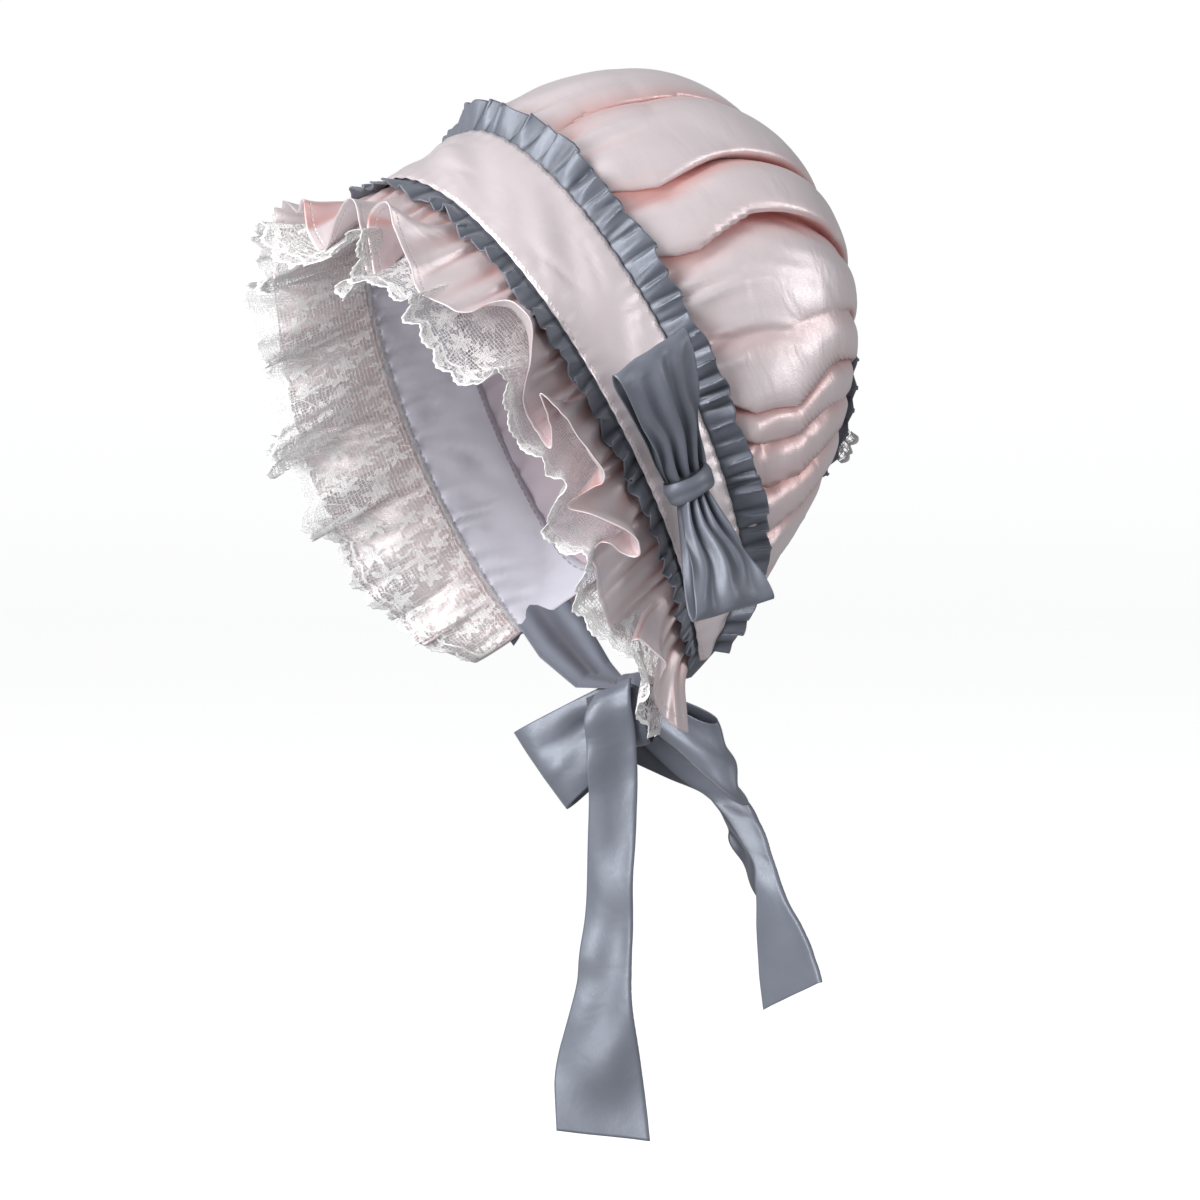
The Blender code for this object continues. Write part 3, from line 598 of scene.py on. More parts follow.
# Columns as in LACE_TURNS
RUFFLE_TURNS = (
    (-0.065, -4.0), (-0.040, -1.0), (-0.040, -15.0), (0.005, -23.0), (0.040, -8.0), (0.070, 2.5),
    (0.095, -8.0), (0.120, -20.5), (0.160, -24.5), (0.140, -19.0), (0.110, -8.5), (0.105, 0.5),
    (0.125, 8.5), (0.150, 1.0), (0.195, -7.0), (0.225, -13.0), (0.250, -11.0), (0.275, -8.5),
    (0.305, -1.5), (0.315, 8.5), (0.335, 17.0), (0.370, 16.5), (0.395, 11.0), (0.430, -1.0),
    (0.460, -7.0), (0.505, -8.5), (0.525, -6.0), (0.480, 0.0), (0.450, 3.0), (0.485, 5.5),
    (0.525, 6.5), (0.570, 8.0), (0.597, 6.0), (0.600, 0.5), (0.612, -13.0), (0.635, -5.5),
    (0.665, 3.5), (0.690, 7.5), (0.708, 7.0), (0.713, 3.5), (0.700, -1.0), (0.685, -4.0),
    (0.680, -8.0), (0.695, -13.0), (0.720, -14.5), (0.760, -16.5), (0.800, -17.0), (0.835, -16.0),
    (0.850, -13.0), (0.838, -9.5), (0.835, -5.5), (0.855, -1.0), (0.873, 3.5), (0.885, 2.0),
    (0.910, -2.0), (0.935, -3.5), (0.960, -1.0), (0.970, 5.0), (0.995, 4.0),
)
RUFFLE_HEM = hem_line(RUFFLE_TURNS, BRIM_FOLD_DEPTH, 0.0044)
RUFFLE_LENGTH = RUFFLE_HEM[-1]


def ruffle_place(u, v):
    share = from_tuck(v, 0.06, 8)
    onward = np.maximum(share, 0.0)
    point, side, width = flounce(
        u,
        share,
        RUFFLE_HEM,
        layer=1,
        width=BRIM_WIDTH,
        stand_off=LAYER,
        lap=tuck,
        lift_share=lambda side: 1.0,
    )
    # Painted shade: the walls of a fold that run away from the band and face each other are coloured deeper,
    # as is the cloth near the band and between the gathers
    pace = np.interp(u, RUFFLE_HEM[0], np.gradient(RUFFLE_HEM[2], RUFFLE_HEM[0]))
    inward = 0.75 * np.exp(-((pace / 0.9) ** 2)) * onward**0.5
    root = 0.45 * np.exp(-onward * width / 0.010)
    root = root + 0.60 * np.clip(-gathers(side), 0.0, 1.0) ** 1.5 * np.exp(-onward * width / 0.020)
    marks = {"hem": width * (1 - onward), "painted_shade": np.clip(np.maximum(inward, root), 0.0, 1.0)}
    return worn(point), u * RUFFLE_LENGTH, width * share, marks


ruffle = cloth("pink_brim_ruffle", 1000, 36, ruffle_place, PINK_SATIN)
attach(ruffle, "root")
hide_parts("brim_ruffle")

# Frills beside the band
# Two narrow strips of blue-grey silk satin, folded double and gathered tight: a crimped one at the brim
# and a wider one that stands behind the band against the crown.
GREY_SATIN = silk_satin(
    "blue_grey_silk_satin",
    light="#7f8490",
    mid="#6b707c",
    painted_shade_colour="#262b35",
    painted_shade_share=0.8,
    gloss=0.44,
    metal=0.26,
    coat=0.12,
    coat_roughness=0.40,
)
FRILL_CLEAR = 0.4 * LAYER


def gather(phase, sharp):
    """Waves whose crests are narrow and whose hollows are creased."""
    wave = np.sin(phase)
    return np.sign(wave) * np.abs(wave) ** sharp


def pleated(phase, flat_top):
    """Pleats with flat tops from -1 in their narrow creases to 1."""
    return 2 * np.abs(np.sin(phase / 2)) ** flat_top - 1


def frill_place(way, width_of, lift_of, edge_of, pitch, depth, sharp, roll, seed):
    """A frill along the band's edge whose pleats stand off its face and lean over unevenly."""

    def place(u, v):
        side = 2 * u - 1
        share = from_tuck(v, 0.1, 5)
        onward = np.maximum(share, 0.0)
        across = side * HALF_ARCH
        phase = TAU * across / pitch + 1.7 * wander(across * 60, seed) + 1.0 * wander(across * 210, seed + 1)
        phase = phase + 0.5 * np.sin(across * 150) * onward
        size = depth * (1 + 0.35 * wander(across * 130, seed + 2))
        crimp = 0.0004 * np.sin(3 * phase + across * 300) * (1 - onward)
        width = width_of(side) * (1 + 0.10 * wander(across * 150, seed + 4))
        point = strip(
            side,
            share,
            layer=2,
            way=way,
            edge=edge_of(side),
            width=width,
            lift=lift_of(side) + 0.10 * np.sin(phase * 0.31 + seed) * onward,
            lap=tuck(side),
            out_of_face=(size * pleated(phase, sharp) + crimp) / np.maximum(onward, 0.35) ** 0.4,
            sideways=roll * np.sin(phase + 0.6) + 0.0008 * wander(across * 170, seed + 3),
        )
        # Painted shade in the creases of the pleats, a little lighter towards the free edge
        painted_shade = np.exp(-((np.sin(phase / 2) / 0.30) ** 2)) * (1 - 0.3 * onward)
        return worn(point), across * 2, width * share, {"hem": width * (1 - onward) + 1.0, "painted_shade": painted_shade}

    return place


front_place = frill_place(
    way=-1,
    width_of=lambda side: 0.0100 * (1 - 0.4 * np.abs(side) ** 6),
    lift_of=lambda side: 0.5 * brim_lift(side) + math.radians(13.0),
    edge_of=lambda side: -FRILL_CLEAR,
    pitch=0.0092,
    depth=0.0016,
    sharp=0.9,
    roll=0.0024,
    seed=51,
)
rear_place = frill_place(
    way=1,
    width_of=lambda side: 0.0140 * (1 - 0.4 * np.abs(side) ** 8),
    lift_of=lambda side: math.radians(35.0),
    edge_of=lambda side: band_width(side) + FRILL_CLEAR,
    pitch=0.0088,
    depth=0.0022,
    sharp=0.6,
    roll=0.0019,
    seed=61,
)
for name, solid, columns, rows, place, flat in (
    ("crimped_front_frill", "front_frill", 680, 18, front_place, (0.90, 0.0115)),
    ("gathered_rear_frill", "rear_frill", 760, 20, rear_place, (0.88, 0.0155)),
):
    frill = cloth(name, columns, rows, place, GREY_SATIN, wall=0.0006)
    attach(frill, "root")
    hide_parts(solid)

# Crown lining
# White cotton lawn, cut smaller than the crown so that the satin can puff over it, and gathered into
# the same seams. It shows inside the brim.
LINING_RUN, LINING_GATHER_PITCH, LINING_GATHER_DEPTH = 0.17, 0.011, 0.0012


def lining_surface(side, along):
    return puffed(side, along, 0.0, LINING_FULLNESS, 2 * LAYER) + BACK * 0.001


def lining_place(u, v):
    side = 2 * u - 1
    point = lining_surface(side, v)
    across, along = side * HALF_ARCH, v * LINING_RUN
    ray = panel_ray(side * PANEL_SWEEP)
    slack = 0.0016 * rumple(across / 0.045, along / 0.09, 71) * np.sin(math.pi * v)
    drawn = np.sin(TAU * across / LINING_GATHER_PITCH + 2 * wander(across * 70, 72)) * np.exp(-v / 0.08)
    drawn = LINING_GATHER_DEPTH * drawn * np.sin(math.pi * np.minimum(v * 12, 1.0) / 2)
    point = point - ray * column(np.abs(slack) + drawn)
    # Painted shade over the whole lining, deepest halfway between the band and the panel
    return worn(point), across, along, {"hem": 1.0, "painted_shade": 0.25 + 0.6 * np.sin(math.pi * v)}


lining = cloth("white_crown_lining", 210, 60, lining_place, WHITE_LAWN)
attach(lining, "root")
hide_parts("crown_lining")

# Crown
# A large oval of pink silk satin, gathered to the band in front and to the small panel behind, so it
# stands in full puffs. Sharp creases part them and run from the band to the panel.
# Each crease: its side at the band, at 0.15, 0.3, 0.5 and 0.75 of the way and at the panel, then how far
# it drops there below the puffs, in millimetres
CREASES = (
    ((-1.06, -1.06, -1.06, -1.06, -1.06, -1.06), (4, 4, 4, 4, 4, 4)),
    ((-0.93, -0.94, -0.93, -0.91, -0.88, -0.87), (6, 8, 8, 7, 5, 5)),
    ((-0.83, -0.82, -0.84, -0.80, -0.77, -0.75), (7, 11, 12, 10, 7, 5)),
    ((-0.72, -0.74, -0.72, -0.68, -0.66, -0.64), (6, 7, 4, 3, 6, 5)),
    ((-0.60, -0.62, -0.60, -0.57, -0.54, -0.52), (7, 13, 13, 11, 7, 5)),
    ((-0.47, -0.46, -0.49, -0.47, -0.44, -0.42), (6, 5, 3, 6, 9, 5)),
    ((-0.35, -0.37, -0.35, -0.34, -0.32, -0.31), (8, 13, 12, 8, 5, 4)),
    ((-0.22, -0.21, -0.23, -0.22, -0.20, -0.19), (7, 8, 5, 8, 9, 5)),
    ((-0.08, -0.07, -0.06, -0.07, -0.08, -0.07), (7, 11, 12, 9, 6, 4)),
    ((0.125, 0.085, 0.095, 0.085, 0.06, 0.05), (5, 6, 6, 5, 5, 4)),
    ((0.235, 0.26, 0.235, 0.21, 0.19, 0.18), (8, 14, 14, 12, 7, 4)),
    ((0.37, 0.36, 0.33, 0.325, 0.31, 0.29), (8, 15, 13, 11, 8, 5)),
    ((0.50, 0.53, 0.53, 0.48, 0.43, 0.40), (5, 3, 2, 2, 5, 4)),
    ((0.575, 0.625, 0.625, 0.56, 0.51, 0.48), (8, 14, 13, 8, 6, 5)),
    ((0.66, 0.69, 0.69, 0.63, 0.58, 0.56), (6, 7, 7, 6, 5, 4)),
    ((0.735, 0.76, 0.745, 0.70, 0.66, 0.64), (6, 10, 10, 8, 6, 5)),
    ((0.83, 0.83, 0.81, 0.78, 0.75, 0.73), (6, 9, 8, 7, 5, 5)),
    ((0.93, 0.93, 0.92, 0.90, 0.87, 0.86), (4, 5, 5, 5, 5, 4)),
    ((1.06, 1.06, 1.06, 1.06, 1.06, 1.06), (4, 4, 4, 4, 4, 4)),
)
CREASE_STATIONS = (0.0, 0.15, 0.3, 0.5, 0.75, 1.0)
PUFF_HEIGHT, PUFF_LEAN, PUFF_LIP = 0.0004, 0.30, 0.75
CROWN_RUN, CROWN_GATHER_PITCH, CROWN_GATHER_DEPTH = 0.24, 0.0125, 0.0034
# Columns: pitch and depth of the slack folds between the creases, slant and seed
SLACK_FOLDS = ((0.046, 0.0020, 1.1, 131), (0.0230, 0.0007, -0.8, 141), (0.010, 0.0003, 0.5, 151))


def crown_puffs(side, along):
    """Height of the puffs over the smooth crown, how far they hang, and a painted shade that is strongest
    next to a crease and more so at deep ones. Every puff hangs over the crease below it, so its lower side
    is steep and folds under."""
    height, painted_shade, hang = 0 * side, 0 * side, 0 * side
    low_down = 0.5 + 0.5 * np.tanh(side * 7)
    places, drops = [], []
    for i, (crease, drop) in enumerate(CREASES):
        line = np.interp(along, CREASE_STATIONS, crease)
        places.append(line + 0.006 * wander(along * 6, 90 + i, waves=3))
        drops.append(0.001 * np.interp(along, CREASE_STATIONS, drop))
    for i in range(len(CREASES) - 1):
        low, high = places[i], places[i + 1]
        there = (side >= low) & (side < high)
        t = np.clip((side - low) / np.maximum(high - low, 1e-4), 0.0, 1.0)
        t = t**1.4 * low_down + (1 - (1 - t) ** 1.4) * (1 - low_down)
        roundness = (1 - np.abs(2 * t - 1) ** 2.4) ** 0.62
        valley = drops[i] * (1 - t) + drops[i + 1] * t
        bulge = PUFF_HEIGHT * np.sqrt(np.clip((high - low) / 0.13, 0.3, 1.5))
        height = np.where(there, bulge - valley * (1 - roundness), height)
        apart = np.minimum(t, 1 - t) * (high - low) * HALF_ARCH
        depth = np.where(t > 0.5, drops[i + 1], drops[i])
        painted_shade = np.where(there, np.exp(-((apart / 0.0055) ** 2)) * np.clip(depth / 0.011, 0, 1), painted_shade)
        below = drops[i + 1] * low_down + drops[i] * (1 - low_down)
        near_below = t * low_down + (1 - t) * (1 - low_down)
        lip = np.sin(math.pi * np.clip((near_below - 0.45) / 0.55, 0.0, 1.0)) ** 1.5
        hang = np.where(there, PUFF_LEAN * (height + 0.007) + PUFF_LIP * below * lip, hang)
    return height, painted_shade, hang * np.tanh(side * 7)


def crown_place(u, v):
    side = 2 * u - 1
    row = 1.03 * v - 0.03
    along = np.maximum(row, 0.0)
    point, *beside = (
        puffed(np.clip(side + across, -1.0, 1.0), np.clip(along + onward, 0.0, 1.0), 1.0, 1.0, 0.0)
        for across, onward in ((0, 0), (0.004, 0), (-0.004, 0), (0, 0.004), (0, -0.004))
    )
    across_way, onward_way = beside[0] - beside[1], beside[2] - beside[3]
    normal = unit(np.cross(across_way, onward_way))
    height, painted_shade, hang = crown_puffs(side, along)
    room = np.abs(np.sum((point - lining_surface(side, along)) * normal, axis=-1))
    across = side * HALF_ARCH
    rise = np.clip(along / 0.10, 0.0, 1.0) ** 0.7 * np.clip((1 - along) / 0.07, 0.0, 1.0) ** 0.7
    drawn = np.exp(-along / 0.060)
    phase = TAU * across / CROWN_GATHER_PITCH + 2.8 * wander(across * 55, 95)
    phase = phase + 1.3 * rumple(across / 0.05, along * 3, 98)
    small = gather(phase, 0.8) * np.exp(-along / 0.10) + 0.4 * rumple(across / 0.019, along * 9, 99) * drawn
    small = (0.0010 * drawn**0.3 + CROWN_GATHER_DEPTH * small) * np.clip((along - 0.01) / 0.05, 0.0, 1.0)
    tail = np.exp(-(1 - along) / 0.10)
    pleats = 0.0009 * gather(TAU * side * 26 + 2 * wander(side * 12, 96), 0.8) * tail
    slack = 0.0006 * rumple(across / 0.034, along * CROWN_RUN / 0.20, 97) * rise
    for pitch, depth, slant, seed in SLACK_FOLDS:
        bend = 0.40 * rumple(across / 0.12, along * CROWN_RUN / 0.20, seed)
        line = np.abs(np.sin(math.pi * (across / pitch + slant * along + bend))) ** 0.75
        patch = np.clip(0.20 + 0.7 * rumple(across / 0.080, along * CROWN_RUN / 0.24, seed + 1), 0.0, 1.0)
        slack = slack - depth * (1 - line) ** 1.5 * patch * rise
    # The satin stays clear of the lining
    height = np.maximum(height * rise + small + pleats + slack, -0.75 * room)
    under = np.minimum(row, 0.0) / 0.03
    point = point + normal * column(height) + unit(across_way) * column(hang * rise)
    point = point + BACK * column(under * tuck(side))
    # Painted shade along the creases and in the hollows of the gathers by the band
    painted_shade = np.clip(painted_shade * rise + np.clip(-small / 0.0022, 0, 1) * 0.55, 0.0, 1.0)
    return worn(point), across, along * CROWN_RUN, {"hem": 1.0, "painted_shade": painted_shade}


crown = cloth("puffed_crown", 350, 126, crown_place, PINK_SATIN)
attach(crown, "root")
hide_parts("crown")

# Band
# A smooth strip of pink satin frames the face between the two frills, edge stitched 1 mm in on both
# sides, with the slight slanting drag lines of cloth eased round a curve.
BAND_SWELL, BAND_DRAG, BAND_PUCKER, BAND_PUCKER_PITCH = 0.0010, 0.00085, 0.00030, 0.0075


def band_place(u, v):
    side = 2 * u - 1
    point, outward = arch(side, 3.0)
    width = band_width(side)
    front = width * v
    across = side * HALF_ARCH
    drag = rumple(across / 0.040 + front / 0.030, front / 0.10, 111)
    line = np.abs(np.sin(math.pi * (across / 0.045 + front / 0.05 + 0.4 * rumple(across / 0.2, v, 113))))
    drag = drag - 2.2 * (1 - line) ** 3 * np.clip(rumple(across / 0.09, front / 0.05, 114), 0.0, 1.0)
    swell = BAND_SWELL * np.sin(math.pi * v) ** 0.6 + BAND_DRAG * drag * np.sin(math.pi * v)
    pucker = BAND_PUCKER * np.sin(TAU * across / BAND_PUCKER_PITCH + 2 * wander(across * 80, 112))
    pucker = pucker * (np.exp(-front / 0.004) + np.exp(-(width - front) / 0.004))
    point = point + BACK * column(front) + outward * column(swell + pucker)
    return worn(point), across, front, {"hem": np.minimum(front, width - front) + 0.0020, "painted_shade": 0.0}


band = cloth("pink_band", 460, 22, band_place, PINK_SATIN)
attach(band, "root")
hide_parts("band")

# Back panel, its frill and the tab of lace
# The crown's gathers end under a small round of pink satin. A grey frill stands round it, and a short
# end of the brim's lace is caught in above.
PANEL_FRILL_WIDTH, PANEL_FRILL_LIFT = 0.018, math.radians(26.0)
TAB_WIDTH, TAB_LENGTH, TAB_ANGLE = 0.014, 0.024, math.radians(125.0)


def panel_place(u, v):
    angle = TAU * u
    ray = panel_ray(angle)
    radius = (PANEL_RADIUS + PANEL_LAP) * v
    dome = PANEL_DOME * (1 - v * v) + 0.0003 * np.sin(34 * angle) * v**6
    point = PANEL_CENTRE + ray * column(radius) + PANEL_NORMAL * column(2 * LAYER + dome)
    across, along = radius * np.sin(angle), radius * np.cos(angle)
    hem = PANEL_RADIUS + PANEL_LAP - radius + 0.0012
    return worn(point), across, along, {"hem": hem, "painted_shade": 0.0}


def panel_frill_place(u, v):
    angle = TAU * u
    ray = panel_ray(angle)
    out = PANEL_FRILL_WIDTH * np.maximum(1.15 * v - 0.15, 0.0)
    radius = PANEL_RADIUS + PANEL_LAP * np.minimum(v / 0.13, 1.0)
    phase = 26 * angle + 0.9 * np.sin(3 * angle) + 0.6 * np.sin(7 * angle + 1)
    size = 0.0017 * (1 + 0.3 * np.sin(5 * angle + 2)) * out / PANEL_FRILL_WIDTH
    run = ray * math.cos(PANEL_FRILL_LIFT) + PANEL_NORMAL * math.sin(PANEL_FRILL_LIFT)
    sideways = panel_ray(angle + math.pi / 2)
    point = PANEL_CENTRE + ray * column(radius) + run * column(out)
    point = point + PANEL_NORMAL * column(LAYER + size * gather(phase, 0.75))
    point = point + sideways * column(0.0018 * np.sin(2 * phase) * out / PANEL_FRILL_WIDTH)
    # Painted shade in the hollows of the gathers
    painted_shade = np.clip(0.5 - 0.6 * np.sin(phase), 0.0, 1.0)
    return worn(point), angle * 0.045, out, {"hem": 1.0, "painted_shade": painted_shade}


def lace_tab_place(u, v):
    ray = panel_ray(np.array(TAB_ANGLE))
    across = TAB_WIDTH * (u - 0.5)
    start = PANEL_CENTRE + ray * (PANEL_RADIUS - PANEL_LAP) + PANEL_NORMAL * 4 * LAYER
    run = ray * math.cos(PANEL_FRILL_LIFT) + PANEL_NORMAL * math.sin(PANEL_FRILL_LIFT)
    scallop = 0.0015 * np.abs(np.sin(math.pi * 3 * u)) * v**6
    point = start + panel_ray(np.array(TAB_ANGLE + math.pi / 2)) * column(across)
    point = point + run * column(TAB_LENGTH * v + scallop)
    point = point + PANEL_NORMAL * column(0.0009 * np.cos(TAU * 1.5 * u) * v)
    return worn(point), across, TAB_LENGTH * v, {"hem": TAB_LENGTH * (1 - v)}


panel = cloth("pink_back_panel", 96, 16, panel_place, PINK_SATIN, closed=True)
panel_frill = cloth("grey_back_frill", 420, 16, panel_frill_place, GREY_SATIN, wall=0.0006, closed=True)
lace_tab = cloth("back_tab_of_lace", 28, 40, lace_tab_place, COTTON_LACE, wall=0.00025)
for piece, solid, finish, flat, area, held in (
    (panel, "back_panel", "pink_satin", (0.062, 0.062), 0.0030, "stretched"),
    (panel_frill, "back_frill", "grey_satin", (0.34, 0.022), None, "gathered"),
    (lace_tab, "back_lace_tab", "white_lace", (0.014, 0.026), None, "hung"),
):
    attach(piece, "root")
    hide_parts(solid)

# Side bow
# Two loops of grey satin ribbon 40 mm wide are folded over and bound by a turn of the same ribbon, sewn
# to the band by the wearer's left ear. The ribbon is drawn narrow at the bind, so it pleats lengthwise.
RIBBON_WIDTH = 0.040
LOOP_ROOT_GAP, LOOP_TURN_WIDTH, LOOP_ROOT_OUT = 0.0013, 0.95, 0.0039
WRAP_HALF_WIDTH, WRAP_HALF_DEPTH, WRAP_LENGTH, WRAP_BULGE = 0.0097, 0.0068, 0.009, 0.12
LOOP_PLEAT, LOOP_RIDGE = 0.0022, 0.0040
SIDE_BOW_PLACE, SIDE_BOW_BACK = 0.69, 0.0115


def as_it_is(point):
    return point


def loop_place(origin, along, wide, out, length, root_width, to_world, fullness, pleats, seed):
    """A loop of ribbon that runs out and back, pleated where it is drawn in and smooth at its turn."""

    def place(u, v):
        turn = math.pi * v
        reach = length * np.sin(turn)
        puff = fullness * np.sin(2 * turn) * np.sin(turn) + LOOP_ROOT_GAP * np.cos(turn)
        open_share = np.sin(turn) ** 0.9
        share = root_width + (LOOP_TURN_WIDTH - root_width) * open_share
        phase = TAU * pleats * (u + 0.05 * wander(v * 7, seed)) + seed
        fold = LOOP_PLEAT * (1 - open_share) ** 0.7 * gather(phase, 0.9)
        fold = fold + 0.0013 * rumple(u * 1.7, 0.35 * reach / length, seed + 1) * open_share
        ridge = np.exp(-(((u - 0.40 - 0.08 * np.cos(turn)) / 0.13) ** 2)) * open_share * np.cos(turn)
        middle = origin + along * column(reach) + out * column(puff + fold + LOOP_RIDGE * ridge)
        point = middle + wide * column(RIBBON_WIDTH * share * (u - 0.5))
        # Painted shade in the pleats where the loop is drawn in, and next to its root
        painted_shade = np.clip(-fold / LOOP_PLEAT, 0, 1) * (1 - open_share) + 0.3 * np.exp(-reach / 0.006)
        hem = np.minimum(u, 1 - u) * RIBBON_WIDTH + 1.0
        return to_world(point), RIBBON_WIDTH * u, 2.2 * length * v, {"hem": hem, "painted_shade": painted_shade}

    return place


def wrap_place(origin, along, wide, out, length, half_width, half_depth, to_world, seed):
    """A turn of ribbon round the middle of a bow, creased lengthwise."""

    def place(u, v):
        angle = TAU * u
        ring = wide * column(half_width * np.cos(angle)) + out * column(half_depth * np.sin(angle))
        crease = 0.022 * np.sin(TAU * 1.5 * v + 0.8 * np.sin(2 * angle) + seed)
        swell = 1 + WRAP_BULGE * np.sin(math.pi * v) ** 0.6 + crease * np.sin(math.pi * v)
        reach = length * (v - 0.5) * (1 + 0.06 * np.sin(3 * angle))
        point = origin + ring * column(swell) + along * column(reach)
        # Painted shade in the creases and towards both ends
        painted_shade = np.clip(-crease * 12, 0, 1) + 0.4 * np.abs(2 * v - 1) ** 6
        return to_world(point), length * v, half_width * 5 * u, {"hem": 1.0, "painted_shade": np.clip(painted_shade, 0, 1)}

    return place


seam, side_out = arch(np.array(SIDE_BOW_PLACE), 3.0)
side_up = np.cross(side_out, BACK)
side_bow = seam + BACK * SIDE_BOW_BACK + side_out * (WRAP_HALF_DEPTH * (1 + WRAP_BULGE) + LAYER)
side_pieces = []
for name, solid, way, length, lift, lean, root_width, seed in (
    ("side_bow_upper_ribbon", "side_bow_upper_loop", 1, 0.057, 12.0, 0.0, 0.41, 3),
    ("side_bow_lower_ribbon", "side_bow_lower_loop", -1, 0.049, 19.0, 16.0, 0.26, 8),
):
    lift, lean = math.radians(lift), math.radians(lean)
    level = (side_up * math.cos(lean) + BACK * math.sin(lean)) * way
    along = level * math.cos(lift) + side_out * math.sin(lift)
    out = side_out * math.cos(lift) - level * math.sin(lift)
    root = side_bow + along * LOOP_ROOT_OUT
    place = loop_place(root, along, np.cross(along, out), out, length, root_width, worn, 0.0038, 3.5, seed)
    side_pieces.append((cloth(name, 44, 96, place, GREY_SATIN), solid, (0.040, 2.0 * length)))
place = wrap_place(
    side_bow, side_up, BACK, side_out, WRAP_LENGTH, WRAP_HALF_WIDTH, WRAP_HALF_DEPTH, worn, 1
)
binding = cloth("side_bow_binding", 64, 24, place, GREY_SATIN, closed=True)
side_pieces.append((binding, "side_bow_wrap", (0.011, 0.058)))
for piece, solid, flat in side_pieces:
    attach(piece, "root")
    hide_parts(solid)

# Ties and chin bow
# A grey satin ribbon comes from inside each end of the band and the two are tied under the chin in a
# bow with a long and a short end. The loops sag, and the ends fall straight and are cut off square.
TIE_SEAM_PLACE, TIE_SEAM_BACK = 0.965, 0.0125
KNOT = np.array([0.004, 0.0206136, -0.2462412])
KNOT_LENGTH, KNOT_HALF_HEIGHT, KNOT_HALF_DEPTH = 0.013, 0.0132, 0.0080
CHIN_BOW_TURN = math.radians(40.0)
TAIL_BEND, TIE_FOLD = 0.0012, 0.0017
ACROSS = np.array([math.cos(CHIN_BOW_TURN), math.sin(CHIN_BOW_TURN), 0.0])
OUT = np.array([math.sin(CHIN_BOW_TURN), -math.cos(CHIN_BOW_TURN), 0.0])
UP = np.array([0.0, 0.0, 1.0])
# Columns: across, out and up from the knot and width, each a share of RIBBON_WIDTH; lie and swing of the
# ribbon's width in degrees
LONG_TAIL = (
    (-0.16, 0.320, 0.26, 0.42, 25.0, 0.0),
    (-0.19, 0.47, 0.06, 0.52, 20.0, 0.0),
    (-0.17, 0.42, -0.35, 0.50, 8.0, 0.0),
    (-0.17, 0.30, -0.87, 0.50, 0.0, -5.0),
    (-0.21, 0.26, -1.66, 0.52, 0.0, 8.0),
    (-0.25, 0.26, -2.39, 0.55, 0.0, 12.0),
    (-0.28, 0.24, -2.89, 0.62, 0.0, 5.0),
    (-0.36, 0.24, -3.68, 0.94, -3.0, -8.0),
    (-0.30, 0.26, -4.35, 0.99, -5.0, -5.0),
)
SHORT_TAIL = (
    (0.12, -0.25, -0.30, 0.34, 30.0, 0.0),
    (0.46, -0.48, -0.66, 0.42, 15.0, 5.0),
    (0.80, -0.58, -0.98, 0.48, -12.0, 10.0),
    (1.02, -0.56, -1.24, 0.42, -18.0, 20.0),
    (1.20, -0.46, -1.62, 0.24, -22.0, 28.0),
    (1.34, -0.36, -1.98, 0.46, -12.0, 34.0),
    (1.46, -0.26, -2.54, 0.90, 15.0, 36.0),
    (1.58, -0.20, -2.90, 0.99, 30.0, 38.0),
)
# Columns: share of the way to the knot, sag and width as shares of RIBBON_WIDTH, turn in degrees
TIE_RUN = (
    (0.00, 0.00, 0.60, 0.0),
    (0.35, 0.10, 0.70, 15.0),
    (0.70, 0.16, 0.60, 45.0),
    (1.00, 0.00, 0.36, 85.0),
)


def eased(values, share):
    """Evenly spaced values of a table's column, read along a curve that runs softly past them."""
    fine = np.linspace(0.0, 1.0, 401)
    line = np.interp(fine, np.linspace(0.0, 1.0, len(values)), values)
    line = np.pad(line, 18, mode="reflect", reflect_type="odd")
    return np.interp(share, fine, np.convolve(line, np.ones(37) / 37, mode="valid"))


def width_way(lie, swing):
    """Ways of a ribbon's width, lie and swing in degrees."""
    lie, swing = np.radians(np.asarray(lie)), np.radians(np.asarray(swing))
    flat = ACROSS * column(np.cos(lie)) + UP * column(np.sin(lie))
    return flat * column(np.cos(swing)) + OUT * column(np.sin(swing))


def tail_place(rows, sway, seed):
    """A hanging ribbon, doubled lengthwise where the knot draws it in and opening out to its end."""
    length = RIBBON_WIDTH * sum(math.dist(a[:3], b[:3]) for a, b in zip(rows, rows[1:]))

    def place(u, v):
        across, out, up, width, lie, swing = (eased(values, v) for values in zip(*rows))
        middle = KNOT + (ACROSS * column(across) + OUT * column(out) + UP * column(up)) * RIBBON_WIDTH
        wide = width_way(lie, swing)
        face = unit(np.cross(wide, UP))
        past = (u - width) * RIBBON_WIDTH
        reach = width * RIBBON_WIDTH - (np.sqrt(past**2 + TAIL_BEND**2) - TAIL_BEND)
        behind = -0.0011 * (1 + np.tanh(past / TAIL_BEND)) - 0.02 * np.maximum(past, 0.0)
        place_across = reach / RIBBON_WIDTH
        hang = sway * rumple(0.5 * place_across + v, v * 3.0, seed + 1)
        hang = hang + 0.25 * sway * rumple(place_across * 1.6, v * 6, seed + 2)
        pleat = 0.0010 * np.sin(TAU * 2.2 * place_across + 1.0) * np.exp(-v / 0.10)
        curl = 0.0015 * np.cos(math.pi * place_across / width)
        point = middle + wide * column(reach - 0.5 * width * RIBBON_WIDTH)
        point = point + face * column(behind + hang + pleat + curl)
        # Painted shade on the back layer, where the doubled ribbon turns under
        painted_shade = np.clip(past / 0.002, 0.0, 1.0) * 0.8
        return point, RIBBON_WIDTH * u, length * v, {"hem": 1.0, "painted_shade": painted_shade}

    return place, length


